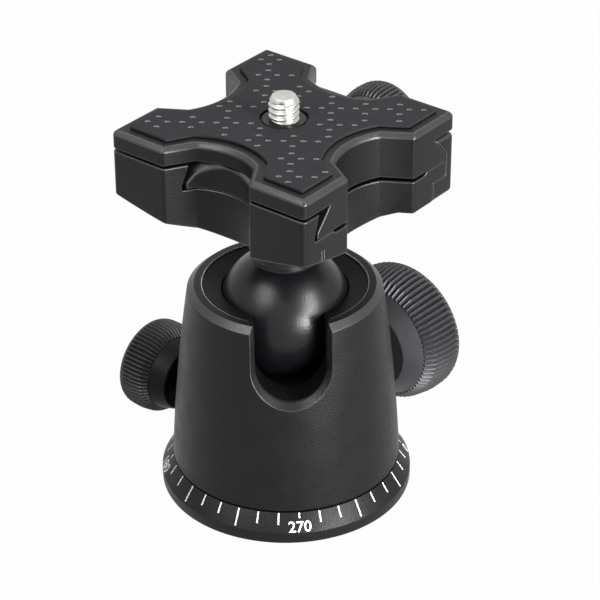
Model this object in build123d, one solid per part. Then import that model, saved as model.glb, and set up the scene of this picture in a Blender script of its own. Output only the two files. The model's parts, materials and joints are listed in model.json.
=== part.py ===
from build123d import *
from math import asin, cos, degrees, pi, radians, sin, sqrt, tan
import os

# Tripod ball head: a dial base, a slotted housing that pans on it, a ball with its neck,
# and a dovetail clamp that carries a cross-shaped camera plate.
# Millimetres. +Z is up, the origin is the centre of the base's underside, the housing's
# slot opens towards -Y. The clamp is drawn in its own frame, where the plate slides along
# X and the jaw closes along Y, and is then turned by CLAMP_YAW.

INCH = 25.4

# Clearances, all radial or normal to the faces
RUN = 0.05             # shaft in its bore
SLIDE = 0.10           # flat faces that slide on each other
BALL_GAP = 0.25        # ball to its seats
WEDGE_GAP = 0.15       # lift wedge to plunger
BRAKE_GAP = 0.20       # brake tip to its groove

# Base and dial
BASE_R = 27.2
RIM_HEIGHT = 2.62
DIAL_TOP_R = 24.7
DIAL_TOP_Z = 6.22
TABLE_R = 23.9
TABLE_Z = 5.9
SPIGOT_R = 15.0
SPIGOT_TOP = 14.3
GROOVE_DEPTH = 1.5
GROOVE_HALF = 1.9
RELIEF_IN = 12.0
RELIEF_OUT = 21.5
RELIEF_DEPTH = 0.7
EDGE = 0.4             # small edge chamfer on turned parts

# Threaded insert, 3/8 inch
SOCKET_R = INCH * 3 / 8 / 2
INSERT_R = 7.0
INSERT_TOP = 13.0

# Keeper plate that holds the housing down on the spigot
KEEPER_R = 16.4
KEEPER_THICK = 1.0
KEEPER_HOLE_R = 6.0
KEEPER_SCREW_CIRCLE = 10.6
KEEPER_SCREWS = 3
KEEPER_SCREW_R = 1.25
KEEPER_SCREW_LENGTH = 7.0
KEEPER_HEAD_R = 2.1
WASHER_RUN = 0.8       # between the spigot and the washer
WASHER_MARGIN = 0.5    # of the table left free round the washer

# Housing
HOUSING_FOOT_Z = 6.45
HOUSING_FOOT_R = 24.7
HOUSING_WAIST_Z = 26.8
HOUSING_WAIST_R = 23.2
SHOULDER_Z = 46.95
SHOULDER_R = 20.75
RIM_Z = 48.3
RIM_OUT_R = 19.2
RIM_IN_R = 17.5
RIM_EDGE = 0.25
KEEPER_ROOM = 0.3      # space round and above the keeper
FLOOR_LOW = 15.6
FLOOR_TOP = 22.0
CHAMBER_R = 14.6
COLLAR_FOOT_Z = 38.2

# Neck slot
SLOT_HALF = 7.45
SLOT_BOTTOM = 31.5
SLOT_BEVEL = 1.0       # width of the bevel round the slot's mouth, along the skin
SLOT_BEVEL_DEPTH = 2.0
SLOT_CORNER = 1.5

# Ball and neck
BALL_R = 14.3
BALL_Z = 41.6
NECK_R = 6.75
NECK_LEDGE_R = 7.0     # small flat at the neck's foot
NECK_LEDGE_Z = 54.8
NECK_GAP = 0.10
NECK_SPIGOT_R = 5.0
NECK_SPIGOT_TOP = 68.0
NECK_BORE_BOTTOM = 58.0

# Collar above the ball and cup below it
COLLAR_LIP_Z = 47.0
COLLAR_TOP_Z = 47.9
CUP_TOP = 31.0
CUP_LIFT_ROOM = 0.7
CUP_EDGE = 0.5
LINER_THICK = 1.2
LINER_FROM = 21.0      # degrees from straight down
LINER_TO = 39.0

# Ball lock: screw, wedge, plunger
LOCK_AZIMUTH = 45.0
LOCK_Z = 18.5
LOCK_SCREW_R = 4.0
LOCK_BUSH_R = 4.9
LOCK_BUSH_FLANGE_R = 6.5
LOCK_BUSH_FLANGE = 1.8
LOCK_SEAT_DEPTH = 0.75 # spot face for the flange, below the housing's skin
WEDGE_R = 2.3
WEDGE_SLOPE = 30.0
WEDGE_TIP = -4.0
SCREW_START = 17.5     # where the screw's hole opens behind the floor's hole
PLUNGER_R = 3.5
PLUNGER_FOOT = 16.4
PLUNGER_RECESS = 0.8   # how deep the plunger stands in the cup

# Pan lock: screw and brake tip
PAN_AZIMUTH = 135.0
PAN_Z = 11.5
PAN_SCREW_R = 3.0
PAN_BUSH_R = 4.2
PAN_BUSH_FLANGE_R = 5.3
PAN_BUSH_FLANGE = 1.5
PAN_SEAT_DEPTH = 0.5
BRAKE_R = 2.2
BRAKE_BLUNT = 0.4

# Knobs: distance from the knob's inner end and radius at each station, outwards
LOCK_KNOB_GAP = 4.55   # housing's skin to the knob's inner end
LOCK_HUB = [(0, 9.5), (3.1, 12.9)]
LOCK_GRIP = [(3.1, 13.4), (5.1, 14.9), (9.1, 15.6), (12.4, 15.5), (13.3, 15.0)]
LOCK_RIDGE_COUNT = 72
LOCK_RIDGE = 0.55
PAN_KNOB_GAP = 5.1
PAN_HUB = [(0, 7.5), (4.0, 8.7)]
PAN_GRIP = [(4.0, 9.0), (5.4, 10.1), (7.9, 10.5), (10.9, 10.4), (11.6, 10.0)]
PAN_RIDGE_COUNT = 64
PAN_RIDGE = 0.4
CLAMP_KNOB_GAP = 0.7   # jaw's face to the knob's inner end
CLAMP_HUB = [(0, 6.2), (3.1, 7.9)]
CLAMP_GRIP = [(3.1, 8.2), (4.3, 9.0), (6.6, 9.3), (9.4, 9.2), (10.1, 8.8)]
CLAMP_RIDGE_COUNT = 56
CLAMP_RIDGE = 0.4
KNOB_DISH = 0.6        # shallow turned dish in a knob's end face
KNOB_DISH_SHARE = 0.62
SHAFT_COVER = 2.4      # knob left over the end of its screw
GRUB_COVER = 0.8       # how far a grub screw lies below the hub's skin

# Clamp and plate, in the clamp's frame
CLAMP_YAW = -42.26
PLATE_HALF = 24.8
BITE_HALF = 11.0
BITE_FLANK = 7.5
BITE_FLANK_Y = 19.0
BITE_BOTTOM = 16.9
CORNER_R = 1.2
BITE_CORNER_R = 1.0
PLATE_TOP = 86.1
SLAB_THICK = 4.0
SLAB_BEVEL = 0.8
JAW_TOP = 81.55
RAIL_Z = 76.0
RAIL_HALF = 15.5
FLOOR_RELIEF = 0.65
DOVE_PLAY = 0.8        # fixed jaw's foot to the dovetail
DOVE_FOOT = 1.4
DOVE_ANGLE = 41.0
FIXED_LIP_THICK = 5.1
FIXED_FOOT_THICK = 3.4
FIXED_FOOT_HEIGHT = 1.0
CONE_APEX_Z = 60.2
CONE_SLOPE = 0.33
HUB_FLAT_R = 14.7      # flat ring round the neck that clears the housing at full tilt
BLOCK_FROM_Y = 9.0
BLOCK_Z = 68.1
JAW_DEPTH = 7.2        # the moving jaw's foot, from its outer face inwards
JAW_LEG_THICK = 2.75
JAW_FOOT_TOP = 72.5
JAW_BOTTOM = 67.7
JAW_ROUND = 1.2
CLAMP_EDGE = 0.4

# Clamp screw and pins
CLAMP_SCREW_Z = 72.2
CLAMP_SCREW_R = 2.5
CLAMP_SCREW_REACH = 18.6   # how far the screw goes in behind the jaw's outer face
CLAMP_WASHER_R = 5.0
CLAMP_WASHER = 0.5
PIN_X = 15.5
PIN_Z = 70.2
PIN_R = 1.5
PIN_LENGTH = 12.5
PIN_COVER = 1.8        # jaw left over the pins' outer ends

# Screw that holds the clamp on the neck
STEM_SCREW_R = 3.0
STEM_HEAD_R = 5.6
STEM_HEAD_SINK = 0.3
STEM_SOCKET_AF = 4.0
STEM_SOCKET_DEPTH = 2.0

# Camera screw, 1/4 inch, and the plate's pad
CAMERA_SCREW_R = INCH / 4 / 2
CAMERA_SHANK_R = 2.6
CAMERA_SCREW_RISE = 5.0
CAMERA_SCREW_TIP_R = 2.1
CAMERA_HEAD_R = 7.0
CAMERA_HEAD_THICK = 2.6
CAMERA_HEAD_SINK = 0.9
CAMERA_SLOT = 1.6
CAMERA_SLOT_DEPTH = 1.3
RING_R = 4.5
RING_THICK = 0.35
PAD_INSET = 2.7
PAD_THICK = 0.65
PAD_HOLE_R = 5.0

# Worked out from the above
JAW_FOOT_Y = PLATE_HALF - JAW_DEPTH
JAW_LEG_Y = PLATE_HALF - JAW_LEG_THICK
FIXED_LIP_Y = FIXED_LIP_THICK - PLATE_HALF
FIXED_FOOT_Y = FIXED_FOOT_THICK - PLATE_HALF
DOVE_LEFT = FIXED_FOOT_Y + DOVE_PLAY
DOVE_RIGHT = JAW_LEG_Y - SLIDE
CLAMP_SCREW_FROM = PLATE_HALF - CLAMP_SCREW_REACH
PIN_TO = PLATE_HALF - PIN_COVER
PIN_FROM = PIN_TO - PIN_LENGTH
SEAT_R = BALL_R + BALL_GAP
SLAB_Z = PLATE_TOP - SLAB_THICK
DOVE_Z = RAIL_Z + SLIDE
PAD_TOP = PLATE_TOP + PAD_THICK
CUP_FOOT_Z = FLOOR_TOP + CUP_LIFT_ROOM
NECK_TOP = CONE_APEX_Z + CONE_SLOPE * HUB_FLAT_R
FAR = 120.0            # longer than anything here, for cutting tools


def skin_radius(height):
    """Radius of the housing's side at a height, on the arc through its three points."""
    x1, z1 = HOUSING_FOOT_R, HOUSING_FOOT_Z + EDGE
    x2, z2 = HOUSING_WAIST_R, HOUSING_WAIST_Z
    x3, z3 = SHOULDER_R, SHOULDER_Z
    # Centre of the circle through the three points
    square1 = x1 ** 2 + z1 ** 2
    square2 = x2 ** 2 + z2 ** 2
    square3 = x3 ** 2 + z3 ** 2
    twice = 2 * (x1 * (z2 - z3) + x2 * (z3 - z1) + x3 * (z1 - z2))
    centre_x = (square1 * (z2 - z3) + square2 * (z3 - z1) + square3 * (z1 - z2)) / twice
    centre_z = (square1 * (x3 - x2) + square2 * (x1 - x3) + square3 * (x2 - x1)) / twice
    arc_r = sqrt((x1 - centre_x) ** 2 + (z1 - centre_z) ** 2)
    reach = sqrt(arc_r ** 2 - (height - centre_z) ** 2)
    return centre_x + reach if x1 > centre_x else centre_x - reach


def lock_seat():
    """Distance of the lock bush's flange seat from the axis."""
    return skin_radius(LOCK_Z) - LOCK_SEAT_DEPTH


def pan_seat():
    return skin_radius(PAN_Z) - PAN_SEAT_DEPTH


def placed(stations, start):
    """Stations of a knob, counted from the axis."""
    return [(start + distance, radius) for distance, radius in stations]


def lock_hub():
    return placed(LOCK_HUB, skin_radius(LOCK_Z) + LOCK_KNOB_GAP)


def lock_grip():
    return placed(LOCK_GRIP, skin_radius(LOCK_Z) + LOCK_KNOB_GAP)


def pan_hub():
    return placed(PAN_HUB, skin_radius(PAN_Z) + PAN_KNOB_GAP)


def pan_grip():
    return placed(PAN_GRIP, skin_radius(PAN_Z) + PAN_KNOB_GAP)


def clamp_hub():
    return placed(CLAMP_HUB, PLATE_HALF + CLAMP_KNOB_GAP)


def clamp_grip():
    return placed(CLAMP_GRIP, PLATE_HALF + CLAMP_KNOB_GAP)


def turned(*points):
    """Body turned about Z from the closed outline of (radius, height) points."""
    outline = Polyline(*points, close=True)
    return revolve(Plane.XZ * make_face(outline), Axis.Z)


def tube(outer, inner, low, high):
    """Round tube, or a rod where inner is 0."""
    body = Pos(0, 0, low) * extrude(Circle(outer), high - low)
    if inner > 0:
        body -= Pos(0, 0, low - 1) * extrude(Circle(inner), high - low + 2)
    return body


def outward(azimuth, height):
    """Place for a body drawn along Z, so that Z points away from the axis."""
    turn = radians(azimuth)
    away = (cos(turn), sin(turn), 0)
    return Location(Plane(origin=(0, 0, height), x_dir=(0, 0, -1), z_dir=away))


def in_clamp(body):
    """Turn a body from the clamp's frame into the head's."""
    return Rot(0, 0, CLAMP_YAW) * body


# ---- Base ----

def groove_cut():
    """V groove round the spigot for the brake tip."""
    reach = SPIGOT_R + 1
    widen = GROOVE_HALF * (reach - SPIGOT_R) / GROOVE_DEPTH
    half = GROOVE_HALF + widen
    return turned((SPIGOT_R - GROOVE_DEPTH, PAN_Z), (reach, PAN_Z - half), (reach, PAN_Z + half))


def keeper_screw_places():
    return PolarLocations(KEEPER_SCREW_CIRCLE, KEEPER_SCREWS)


def pan_base():
    """Dial disc and spigot, turned in one piece."""
    body = turned(
        (0, 0), (BASE_R - EDGE, 0), (BASE_R, EDGE), (BASE_R, RIM_HEIGHT),
        (DIAL_TOP_R, DIAL_TOP_Z), (TABLE_R, DIAL_TOP_Z), (TABLE_R, TABLE_Z),
        (SPIGOT_R, TABLE_Z), (SPIGOT_R, SPIGOT_TOP), (0, SPIGOT_TOP))
    body -= groove_cut()
    body -= tube(RELIEF_OUT, RELIEF_IN, -1, RELIEF_DEPTH)
    body -= tube(INSERT_R, 0, -1, INSERT_TOP)
    body -= tube(SOCKET_R + EDGE, 0, 0, SPIGOT_TOP + 1)
    hole = tube(KEEPER_SCREW_R, 0, SPIGOT_TOP - KEEPER_SCREW_LENGTH, SPIGOT_TOP + 1)
    for place in keeper_screw_places():
        body -= place * hole
    return body


def thread_insert():
    """Steel bush with the tripod socket."""
    return tube(INSERT_R, SOCKET_R, 0, INSERT_TOP)


def keeper_plate():
    top = SPIGOT_TOP + KEEPER_THICK
    body = tube(KEEPER_R, KEEPER_HOLE_R, SPIGOT_TOP, top)
    for place in keeper_screw_places():
        body -= place * screw_body(0, top + EDGE)
    return body


def screw_body(head_drop, extra_top):
    """Countersunk screw, its head's top face in the keeper's top face."""
    top = SPIGOT_TOP + KEEPER_THICK - head_drop
    sink = KEEPER_THICK * 0.8
    rod = tube(KEEPER_SCREW_R, 0, SPIGOT_TOP - KEEPER_SCREW_LENGTH, top)
    head = turned((0, top - sink), (KEEPER_SCREW_R, top - sink), (KEEPER_HEAD_R, top), (0, top))
    body = rod + head
    if extra_top > top:
        body += tube(KEEPER_HEAD_R, 0, top, extra_top)
    return body


def keeper_screws():
    """Three equal screws, each with its cross slot."""
    body = screw_body(0, 0)
    top = SPIGOT_TOP + KEEPER_THICK
    slot = Pos(0, 0, top) * Box(KEEPER_HEAD_R * 1.2, 0.5, 0.8)
    body -= slot + Rot(0, 0, 90) * slot
    return Compound([place * body for place in keeper_screw_places()])


def pan_washer():
    """Plain bearing ring that the housing turns on."""
    return tube(TABLE_R - WASHER_MARGIN, SPIGOT_R + WASHER_RUN, TABLE_Z, HOUSING_FOOT_Z - SLIDE)


# ---- Housing ----

def slot_shape(grow):
    """Round-bottomed slot as a face in XZ, open at the top."""
    half = SLOT_HALF + grow
    centre = SLOT_BOTTOM + SLOT_HALF
    bottom = centre - half
    lines = [
        Line((-half, FAR), (-half, centre)),
        ThreePointArc((-half, centre), (0, bottom), (half, centre)),
        Line((half, centre), (half, FAR)),
        Line((half, FAR), (-half, FAR))]
    return Plane.XZ * make_face(lines)


def slot_cut():
    """Slot from the ball out through the front wall."""
    return extrude(slot_shape(0), amount=FAR)


def housing_side(top):
    """Solid turned body with the housing's curved side, flat on top."""
    foot = (HOUSING_FOOT_R, HOUSING_FOOT_Z + EDGE)
    side = ThreePointArc(foot, (HOUSING_WAIST_R, HOUSING_WAIST_Z), (skin_radius(top), top))
    lines = [
        Line((0, HOUSING_FOOT_Z), (HOUSING_FOOT_R - EDGE, HOUSING_FOOT_Z)),
        Line((HOUSING_FOOT_R - EDGE, HOUSING_FOOT_Z), foot),
        side,
        Line((skin_radius(top), top), (0, top)),
        Line((0, top), (0, HOUSING_FOOT_Z))]
    return revolve(Plane.XZ * make_face(lines), Axis.Z)


def crown_cut():
    """Everything outside the sloping edge between the housing's shoulder and its rim."""
    slope = (SHOULDER_R - RIM_OUT_R) / (RIM_Z - SHOULDER_Z)
    over = RIM_Z + 1
    return turned((SHOULDER_R + slope, SHOULDER_Z - 1), (2 * SHOULDER_R, SHOULDER_Z - 1),
                  (2 * SHOULDER_R, over), (RIM_OUT_R - slope, over))


def flared_mouth(body):
    """Widen the slot's mouth with a bevel that follows the curved side."""
    skin = body.faces().sort_by(SortBy.AREA)[-1]
    mouth = [edge for edge in skin.edges()
             if edge.center().Y < -SHOULDER_R / 2 and abs(edge.center().X) < SLOT_HALF + 1
             and edge.center().Z < RIM_Z - 0.1]
    return chamfer(mouth, SLOT_BEVEL, SLOT_BEVEL_DEPTH, reference=skin)


def lock_holes():
    """Holes for the wedge, the lock screw's bush and its flange."""
    holes = tube(WEDGE_R + RUN, 0, WEDGE_TIP - 0.6, SCREW_START + 0.1)
    holes += tube(LOCK_BUSH_R, 0, SCREW_START, FAR)
    holes += tube(LOCK_BUSH_FLANGE_R + SLIDE, 0, lock_seat(), FAR)
    return outward(LOCK_AZIMUTH, LOCK_Z) * holes


def pan_holes():
    """Holes for the brake tip, the pan screw's bush and its flange."""
    holes = tube(BRAKE_R + RUN, 0, SPIGOT_R - 1, SCREW_START + 0.1)
    holes += tube(PAN_BUSH_R, 0, SCREW_START, FAR)
    holes += tube(PAN_BUSH_FLANGE_R + SLIDE, 0, pan_seat(), FAR)
    return outward(PAN_AZIMUTH, PAN_Z) * holes


def body_housing():
    body = housing_side(RIM_Z)
    shoulder_top = SPIGOT_TOP - KEEPER_ROOM / 2
    body -= tube(SPIGOT_R + RUN, 0, 0, shoulder_top + 0.1)
    body -= tube(KEEPER_R + KEEPER_ROOM, 0, shoulder_top, FLOOR_LOW)
    body -= tube(PLUNGER_R + RUN, 0, FLOOR_LOW - 1, FLOOR_TOP + 1)
    body -= tube(CHAMBER_R, 0, FLOOR_TOP, FAR)
    body -= tube(RIM_IN_R, 0, COLLAR_FOOT_Z, FAR)
    body -= turned((0, RIM_Z - RIM_EDGE), (RIM_IN_R, RIM_Z - RIM_EDGE),
                   (RIM_IN_R + 2 * RIM_EDGE, RIM_Z + RIM_EDGE), (0, RIM_Z + RIM_EDGE))
    body -= slot_cut()
    body = fillet(slot_inner_edges(body), SLOT_CORNER)
    body = flared_mouth(body)
    body -= crown_cut()
    body -= lock_holes()
    body -= pan_holes()
    return body


def slot_inner_edges(body):
    """Upright edges where the slot's sides meet the collar's bore."""
    reach = sqrt(RIM_IN_R ** 2 - SLOT_HALF ** 2)
    upright = body.edges().filter_by(Axis.Z)
    return [edge for edge in upright
            if abs(abs(edge.center().X) - SLOT_HALF) < 0.05
            and abs(edge.center().Y + reach) < 0.1
            and edge.center().Z > COLLAR_FOOT_Z]


def ball_collar():
    """Ring above the ball, open where the slot is."""
    lip_r = sqrt(SEAT_R ** 2 - (COLLAR_LIP_Z - BALL_Z) ** 2)
    rise = (COLLAR_LIP_Z - BALL_Z) / 2
    middle = (sqrt(SEAT_R ** 2 - rise ** 2), BALL_Z + rise)
    lines = [
        Line((CHAMBER_R, COLLAR_FOOT_Z), (RIM_IN_R, COLLAR_FOOT_Z)),
        Line((RIM_IN_R, COLLAR_FOOT_Z), (RIM_IN_R, COLLAR_TOP_Z)),
        Line((RIM_IN_R, COLLAR_TOP_Z), (lip_r, COLLAR_LIP_Z)),
        ThreePointArc((lip_r, COLLAR_LIP_Z), middle, (SEAT_R, BALL_Z)),
        Line((SEAT_R, BALL_Z), (CHAMBER_R, COLLAR_FOOT_Z))]
    body = revolve(Plane.XZ * make_face(lines), Axis.Z)
    return body - slot_cut()


# ---- Cup under the ball and what lifts it ----

def liner_ring(grow_top):
    """Ring sector under the ball, between two angles from straight down."""
    def point(radius, angle):
        turn = radians(angle)
        return (radius * sin(turn), BALL_Z - radius * cos(turn))
    inner = SEAT_R - grow_top
    outer = SEAT_R + LINER_THICK
    middle = (LINER_FROM + LINER_TO) / 2
    lines = [
        ThreePointArc(point(inner, LINER_FROM), point(inner, middle), point(inner, LINER_TO)),
        Line(point(inner, LINER_TO), point(outer, LINER_TO)),
        ThreePointArc(point(outer, LINER_TO), point(outer, middle), point(outer, LINER_FROM)),
        Line(point(outer, LINER_FROM), point(inner, LINER_FROM))]
    return revolve(Plane.XZ * make_face(lines), Axis.Z)


def lift_cup():
    """Cup that carries the ball and slides up and down in the chamber."""
    outer = CHAMBER_R - RUN
    body = turned(
        (0, CUP_FOOT_Z), (outer - CUP_EDGE, CUP_FOOT_Z), (outer, CUP_FOOT_Z + CUP_EDGE),
        (outer, CUP_TOP - CUP_EDGE), (outer - CUP_EDGE, CUP_TOP), (0, CUP_TOP))
    body -= Pos(0, 0, BALL_Z) * Sphere(SEAT_R)
    body -= liner_ring(RUN)
    body -= tube(PLUNGER_R, 0, CUP_FOOT_Z - 1, CUP_FOOT_Z + PLUNGER_RECESS)
    return body


def cup_liner():
    return liner_ring(0)


def wedge_face(gap):
    """Everything above the wedge's sloping face, in the lock's own frame.

    Drawn along the screw: X is down, Z is away from the axis.
    """
    rise = tan(radians(WEDGE_SLOPE))
    lift = gap / cos(radians(WEDGE_SLOPE))
    low = -(rise * -FAR + lift)
    high = -(rise * FAR + lift)
    side = Polyline((low, -FAR), (high, FAR), (-2 * FAR, FAR), (-2 * FAR, -FAR), close=True)
    return extrude(Plane.XZ * make_face(side), amount=FAR, both=True)


def lift_plunger():
    """Pin that stands on the wedge and carries the cup."""
    pin = tube(PLUNGER_R, 0, PLUNGER_FOOT, CUP_FOOT_Z + PLUNGER_RECESS)
    return pin & (outward(LOCK_AZIMUTH, LOCK_Z) * wedge_face(WEDGE_GAP))


def lock_wedge():
    """Round bar with a sloping nose under the plunger."""
    bar = tube(WEDGE_R, 0, WEDGE_TIP, SCREW_START + RUN)
    bar -= wedge_face(0)
    return outward(LOCK_AZIMUTH, LOCK_Z) * bar


# ---- Screws, bushes and knobs ----

def flanged_bush(outer, bore, flange_r, flange, seat):
    """Threaded bush pressed into the housing's wall."""
    body = tube(outer, 0, SCREW_START + 0.3, seat)
    body += tube(flange_r, 0, seat, seat + flange)
    return body - tube(bore, 0, SCREW_START - 1, seat + flange + 1)


def ridged(stations, ridges, depth):
    """Grip with straight ridges, its size following the stations."""
    def ring(distance, radius):
        points = []
        for step in range(2 * ridges):
            turn = pi * step / ridges
            reach = radius if step % 2 == 0 else radius - depth
            points.append((reach * cos(turn), reach * sin(turn)))
        return Pos(0, 0, distance) * make_face(Polyline(*points, close=True))
    return loft([ring(*station) for station in stations], ruled=True)


def grub_place(hub):
    """Middle of the hub's length, where its grub screw sits."""
    return (hub[0][0] + hub[1][0]) / 2


def knob(hub, grip, ridges, depth, screw_r):
    """One-piece knob: a smooth hub, then a ridged grip with a dished end."""
    (hub_start, hub_r), (hub_end, hub_end_r) = hub
    end, end_r = grip[-1]
    body = turned((0, hub_start), (hub_r - EDGE, hub_start), (hub_r, hub_start + EDGE),
                  (hub_end_r, hub_end), (0, hub_end))
    body += ridged(grip, ridges, depth)
    body -= tube(end_r * KNOB_DISH_SHARE, 0, end - KNOB_DISH, end + 1)
    body -= tube(screw_r, 0, hub_start - 1, end - SHAFT_COVER)
    body -= Pos(0, 0, grub_place(hub)) * Rot(0, 90, 0) * tube(grub_r(screw_r), 0, 0, FAR)
    return body


def grub_r(screw_r):
    return screw_r / 2


def grub_screw(hub, screw_r):
    """Grub screw that clamps a knob on its screw."""
    (hub_start, hub_r), (hub_end, hub_end_r) = hub
    skin = (hub_r + hub_end_r) / 2
    body = tube(grub_r(screw_r), 0, screw_r, skin - GRUB_COVER)
    socket = Pos(0, 0, skin - GRUB_COVER) * extrude(
        RegularPolygon(grub_r(screw_r) * 0.5, 6), -1.2)
    return Pos(0, 0, grub_place(hub)) * Rot(0, 90, 0) * (body - socket)


def lock_bush():
    return outward(LOCK_AZIMUTH, LOCK_Z) * flanged_bush(
        LOCK_BUSH_R, LOCK_SCREW_R + RUN, LOCK_BUSH_FLANGE_R, LOCK_BUSH_FLANGE, lock_seat())


def lock_screw():
    end = lock_grip()[-1][0] - SHAFT_COVER
    return outward(LOCK_AZIMUTH, LOCK_Z) * tube(LOCK_SCREW_R, 0, SCREW_START + 2 * RUN, end)


def lock_knob():
    return outward(LOCK_AZIMUTH, LOCK_Z) * knob(
        lock_hub(), lock_grip(), LOCK_RIDGE_COUNT, LOCK_RIDGE, LOCK_SCREW_R)


def lock_knob_grub():
    return outward(LOCK_AZIMUTH, LOCK_Z) * grub_screw(lock_hub(), LOCK_SCREW_R)


def pan_bush():
    return outward(PAN_AZIMUTH, PAN_Z) * flanged_bush(
        PAN_BUSH_R, PAN_SCREW_R + RUN, PAN_BUSH_FLANGE_R, PAN_BUSH_FLANGE, pan_seat())


def pan_screw():
    end = pan_grip()[-1][0] - SHAFT_COVER
    return outward(PAN_AZIMUTH, PAN_Z) * tube(PAN_SCREW_R, 0, SCREW_START + 2 * RUN, end)


def pan_knob():
    return outward(PAN_AZIMUTH, PAN_Z) * knob(
        pan_hub(), pan_grip(), PAN_RIDGE_COUNT, PAN_RIDGE, PAN_SCREW_R)


def pan_knob_grub():
    return outward(PAN_AZIMUTH, PAN_Z) * grub_screw(pan_hub(), PAN_SCREW_R)


def brake_tip():
    """Brass tip that the pan screw presses into the spigot's groove."""
    slope = GROOVE_DEPTH / GROOVE_HALF
    nose = SPIGOT_R - GROOVE_DEPTH + BRAKE_BLUNT * slope + BRAKE_GAP
    widest = BRAKE_R - EDGE
    tip = turned((0, nose), (BRAKE_BLUNT, nose), (widest, nose + (widest - BRAKE_BLUNT) * slope),
                 (widest, SPIGOT_R + RUN), (BRAKE_R, SPIGOT_R + EDGE),
                 (BRAKE_R, SCREW_START + RUN), (0, SCREW_START + RUN))
    return outward(PAN_AZIMUTH, PAN_Z) * tip


# ---- Ball and neck ----

def ball():
    return Pos(0, 0, BALL_Z) * Sphere(BALL_R)


def ball_neck():
    """Neck with the spigot that the clamp sits on."""
    body = tube(NECK_R, 0, BALL_Z, NECK_TOP - SLIDE) + tube(NECK_LEDGE_R, 0, BALL_Z, NECK_LEDGE_Z)
    body += tube(NECK_SPIGOT_R, 0, BALL_Z, NECK_SPIGOT_TOP)
    body -= Pos(0, 0, BALL_Z) * Sphere(BALL_R + NECK_GAP)
    body -= tube(STEM_SCREW_R + RUN, 0, NECK_BORE_BOTTOM, NECK_SPIGOT_TOP + 1)
    return body


# ---- Clamp ----

def cross_outline(bitten_back):
    """Square with a bite in each side; the back side's bite can be left out."""
    lines = []
    turns = (0, 90, 180, 270)
    for turn in turns:
        # One side, drawn as the +X side from its lower to its upper corner
        low = (PLATE_HALF, -PLATE_HALF)
        high = (PLATE_HALF, PLATE_HALF)
        if turn == 90 and not bitten_back:
            side = [Line(low, high)]
        else:
            side = [
                Line(low, (PLATE_HALF, -BITE_HALF)),
                Line((PLATE_HALF, -BITE_HALF), (BITE_FLANK_Y, -BITE_FLANK)),
                ThreePointArc((BITE_FLANK_Y, -BITE_FLANK), (BITE_BOTTOM, 0),
                              (BITE_FLANK_Y, BITE_FLANK)),
                Line((BITE_FLANK_Y, BITE_FLANK), (PLATE_HALF, BITE_HALF)),
                Line((PLATE_HALF, BITE_HALF), high)]
        lines += [Rot(0, 0, turn) * line for line in side]
    return make_face(lines)


def cross_block(low, high, bitten_back):
    """The cross outline as an upright block with its corners rounded."""
    block = Pos(0, 0, low) * extrude(cross_outline(bitten_back), high - low)
    upright = block.edges().filter_by(Axis.Z)
    corners = []
    bites = []
    for edge in upright:
        far_x = abs(abs(edge.center().X) - PLATE_HALF) < 0.01
        far_y = abs(abs(edge.center().Y) - PLATE_HALF) < 0.01
        if far_x and far_y:
            corners.append(edge)
        elif far_x or far_y:
            bites.append(edge)
    block = fillet(corners, CORNER_R)
    again = [edge for edge in block.edges().filter_by(Axis.Z)
             if any((edge.center() - old.center()).length < 0.01 for old in bites)]
    return fillet(again, BITE_CORNER_R)


def along_slide(*points):
    """Bar along X with the closed outline of (y, z) points."""
    outline = Polyline(*points, close=True)
    return extrude(Plane.YZ * make_face(outline), amount=FAR, both=True)


def dovetail_bar():
    shoulder = DOVE_Z + DOVE_FOOT
    top = SLAB_Z + 1
    narrowing = (top - shoulder) * tan(radians(DOVE_ANGLE))
    return along_slide(
        (DOVE_LEFT, DOVE_Z), (DOVE_RIGHT, DOVE_Z), (DOVE_RIGHT, shoulder),
        (DOVE_RIGHT - narrowing, top), (DOVE_LEFT + narrowing, top), (DOVE_LEFT, shoulder))


def under_cone():
    """Space under the clamp: a shallow cone, cut off by a flat block under the jaw."""
    reach = 2 * PLATE_HALF
    space = turned((0, 0), (reach, 0), (reach, CONE_APEX_Z + CONE_SLOPE * reach),
                   (HUB_FLAT_R, NECK_TOP), (0, NECK_TOP))
    block = Pos(0, BLOCK_FROM_Y + reach / 2, BLOCK_Z + FAR / 2) * Box(2 * reach, reach, FAR)
    return space - block


def clamp_base():
    """Clamp body with its fixed jaw, relieved floor and the tongue over the jaw's foot."""
    block = cross_block(NECK_TOP - 1, JAW_TOP, False)
    floor = RAIL_Z - FLOOR_RELIEF
    section = along_slide(
        (-FAR, 0), (JAW_FOOT_Y, 0), (JAW_FOOT_Y, JAW_FOOT_TOP), (JAW_LEG_Y, JAW_FOOT_TOP),
        (JAW_LEG_Y, RAIL_Z), (RAIL_HALF, RAIL_Z), (RAIL_HALF - FLOOR_RELIEF, floor),
        (FLOOR_RELIEF - RAIL_HALF, floor), (-RAIL_HALF, RAIL_Z), (FIXED_FOOT_Y, RAIL_Z),
        (FIXED_FOOT_Y, RAIL_Z + FIXED_FOOT_HEIGHT), (FIXED_LIP_Y, JAW_TOP + 1),
        (-FAR, JAW_TOP + 1))
    body = block & section
    body -= under_cone()
    body -= tube(NECK_SPIGOT_R + RUN, 0, 0, NECK_SPIGOT_TOP + SLIDE)
    body -= tube(STEM_SCREW_R + RUN, 0, 0, FAR)
    body -= stem_screw_head(FAR)
    body -= clamp_screw_hole()
    body -= guide_pin_pair(PIN_R, JAW_FOOT_Y)
    return body


def stem_screw_head(above):
    """Countersunk head of the neck's screw, with any space above it."""
    top = RAIL_Z - FLOOR_RELIEF - STEM_HEAD_SINK
    cone_foot = top - (STEM_HEAD_R - STEM_SCREW_R)
    head = turned((0, cone_foot), (STEM_SCREW_R, cone_foot), (STEM_HEAD_R, top), (0, top))
    if above > 0:
        head += tube(STEM_HEAD_R, 0, top, top + above)
    return head


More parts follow.
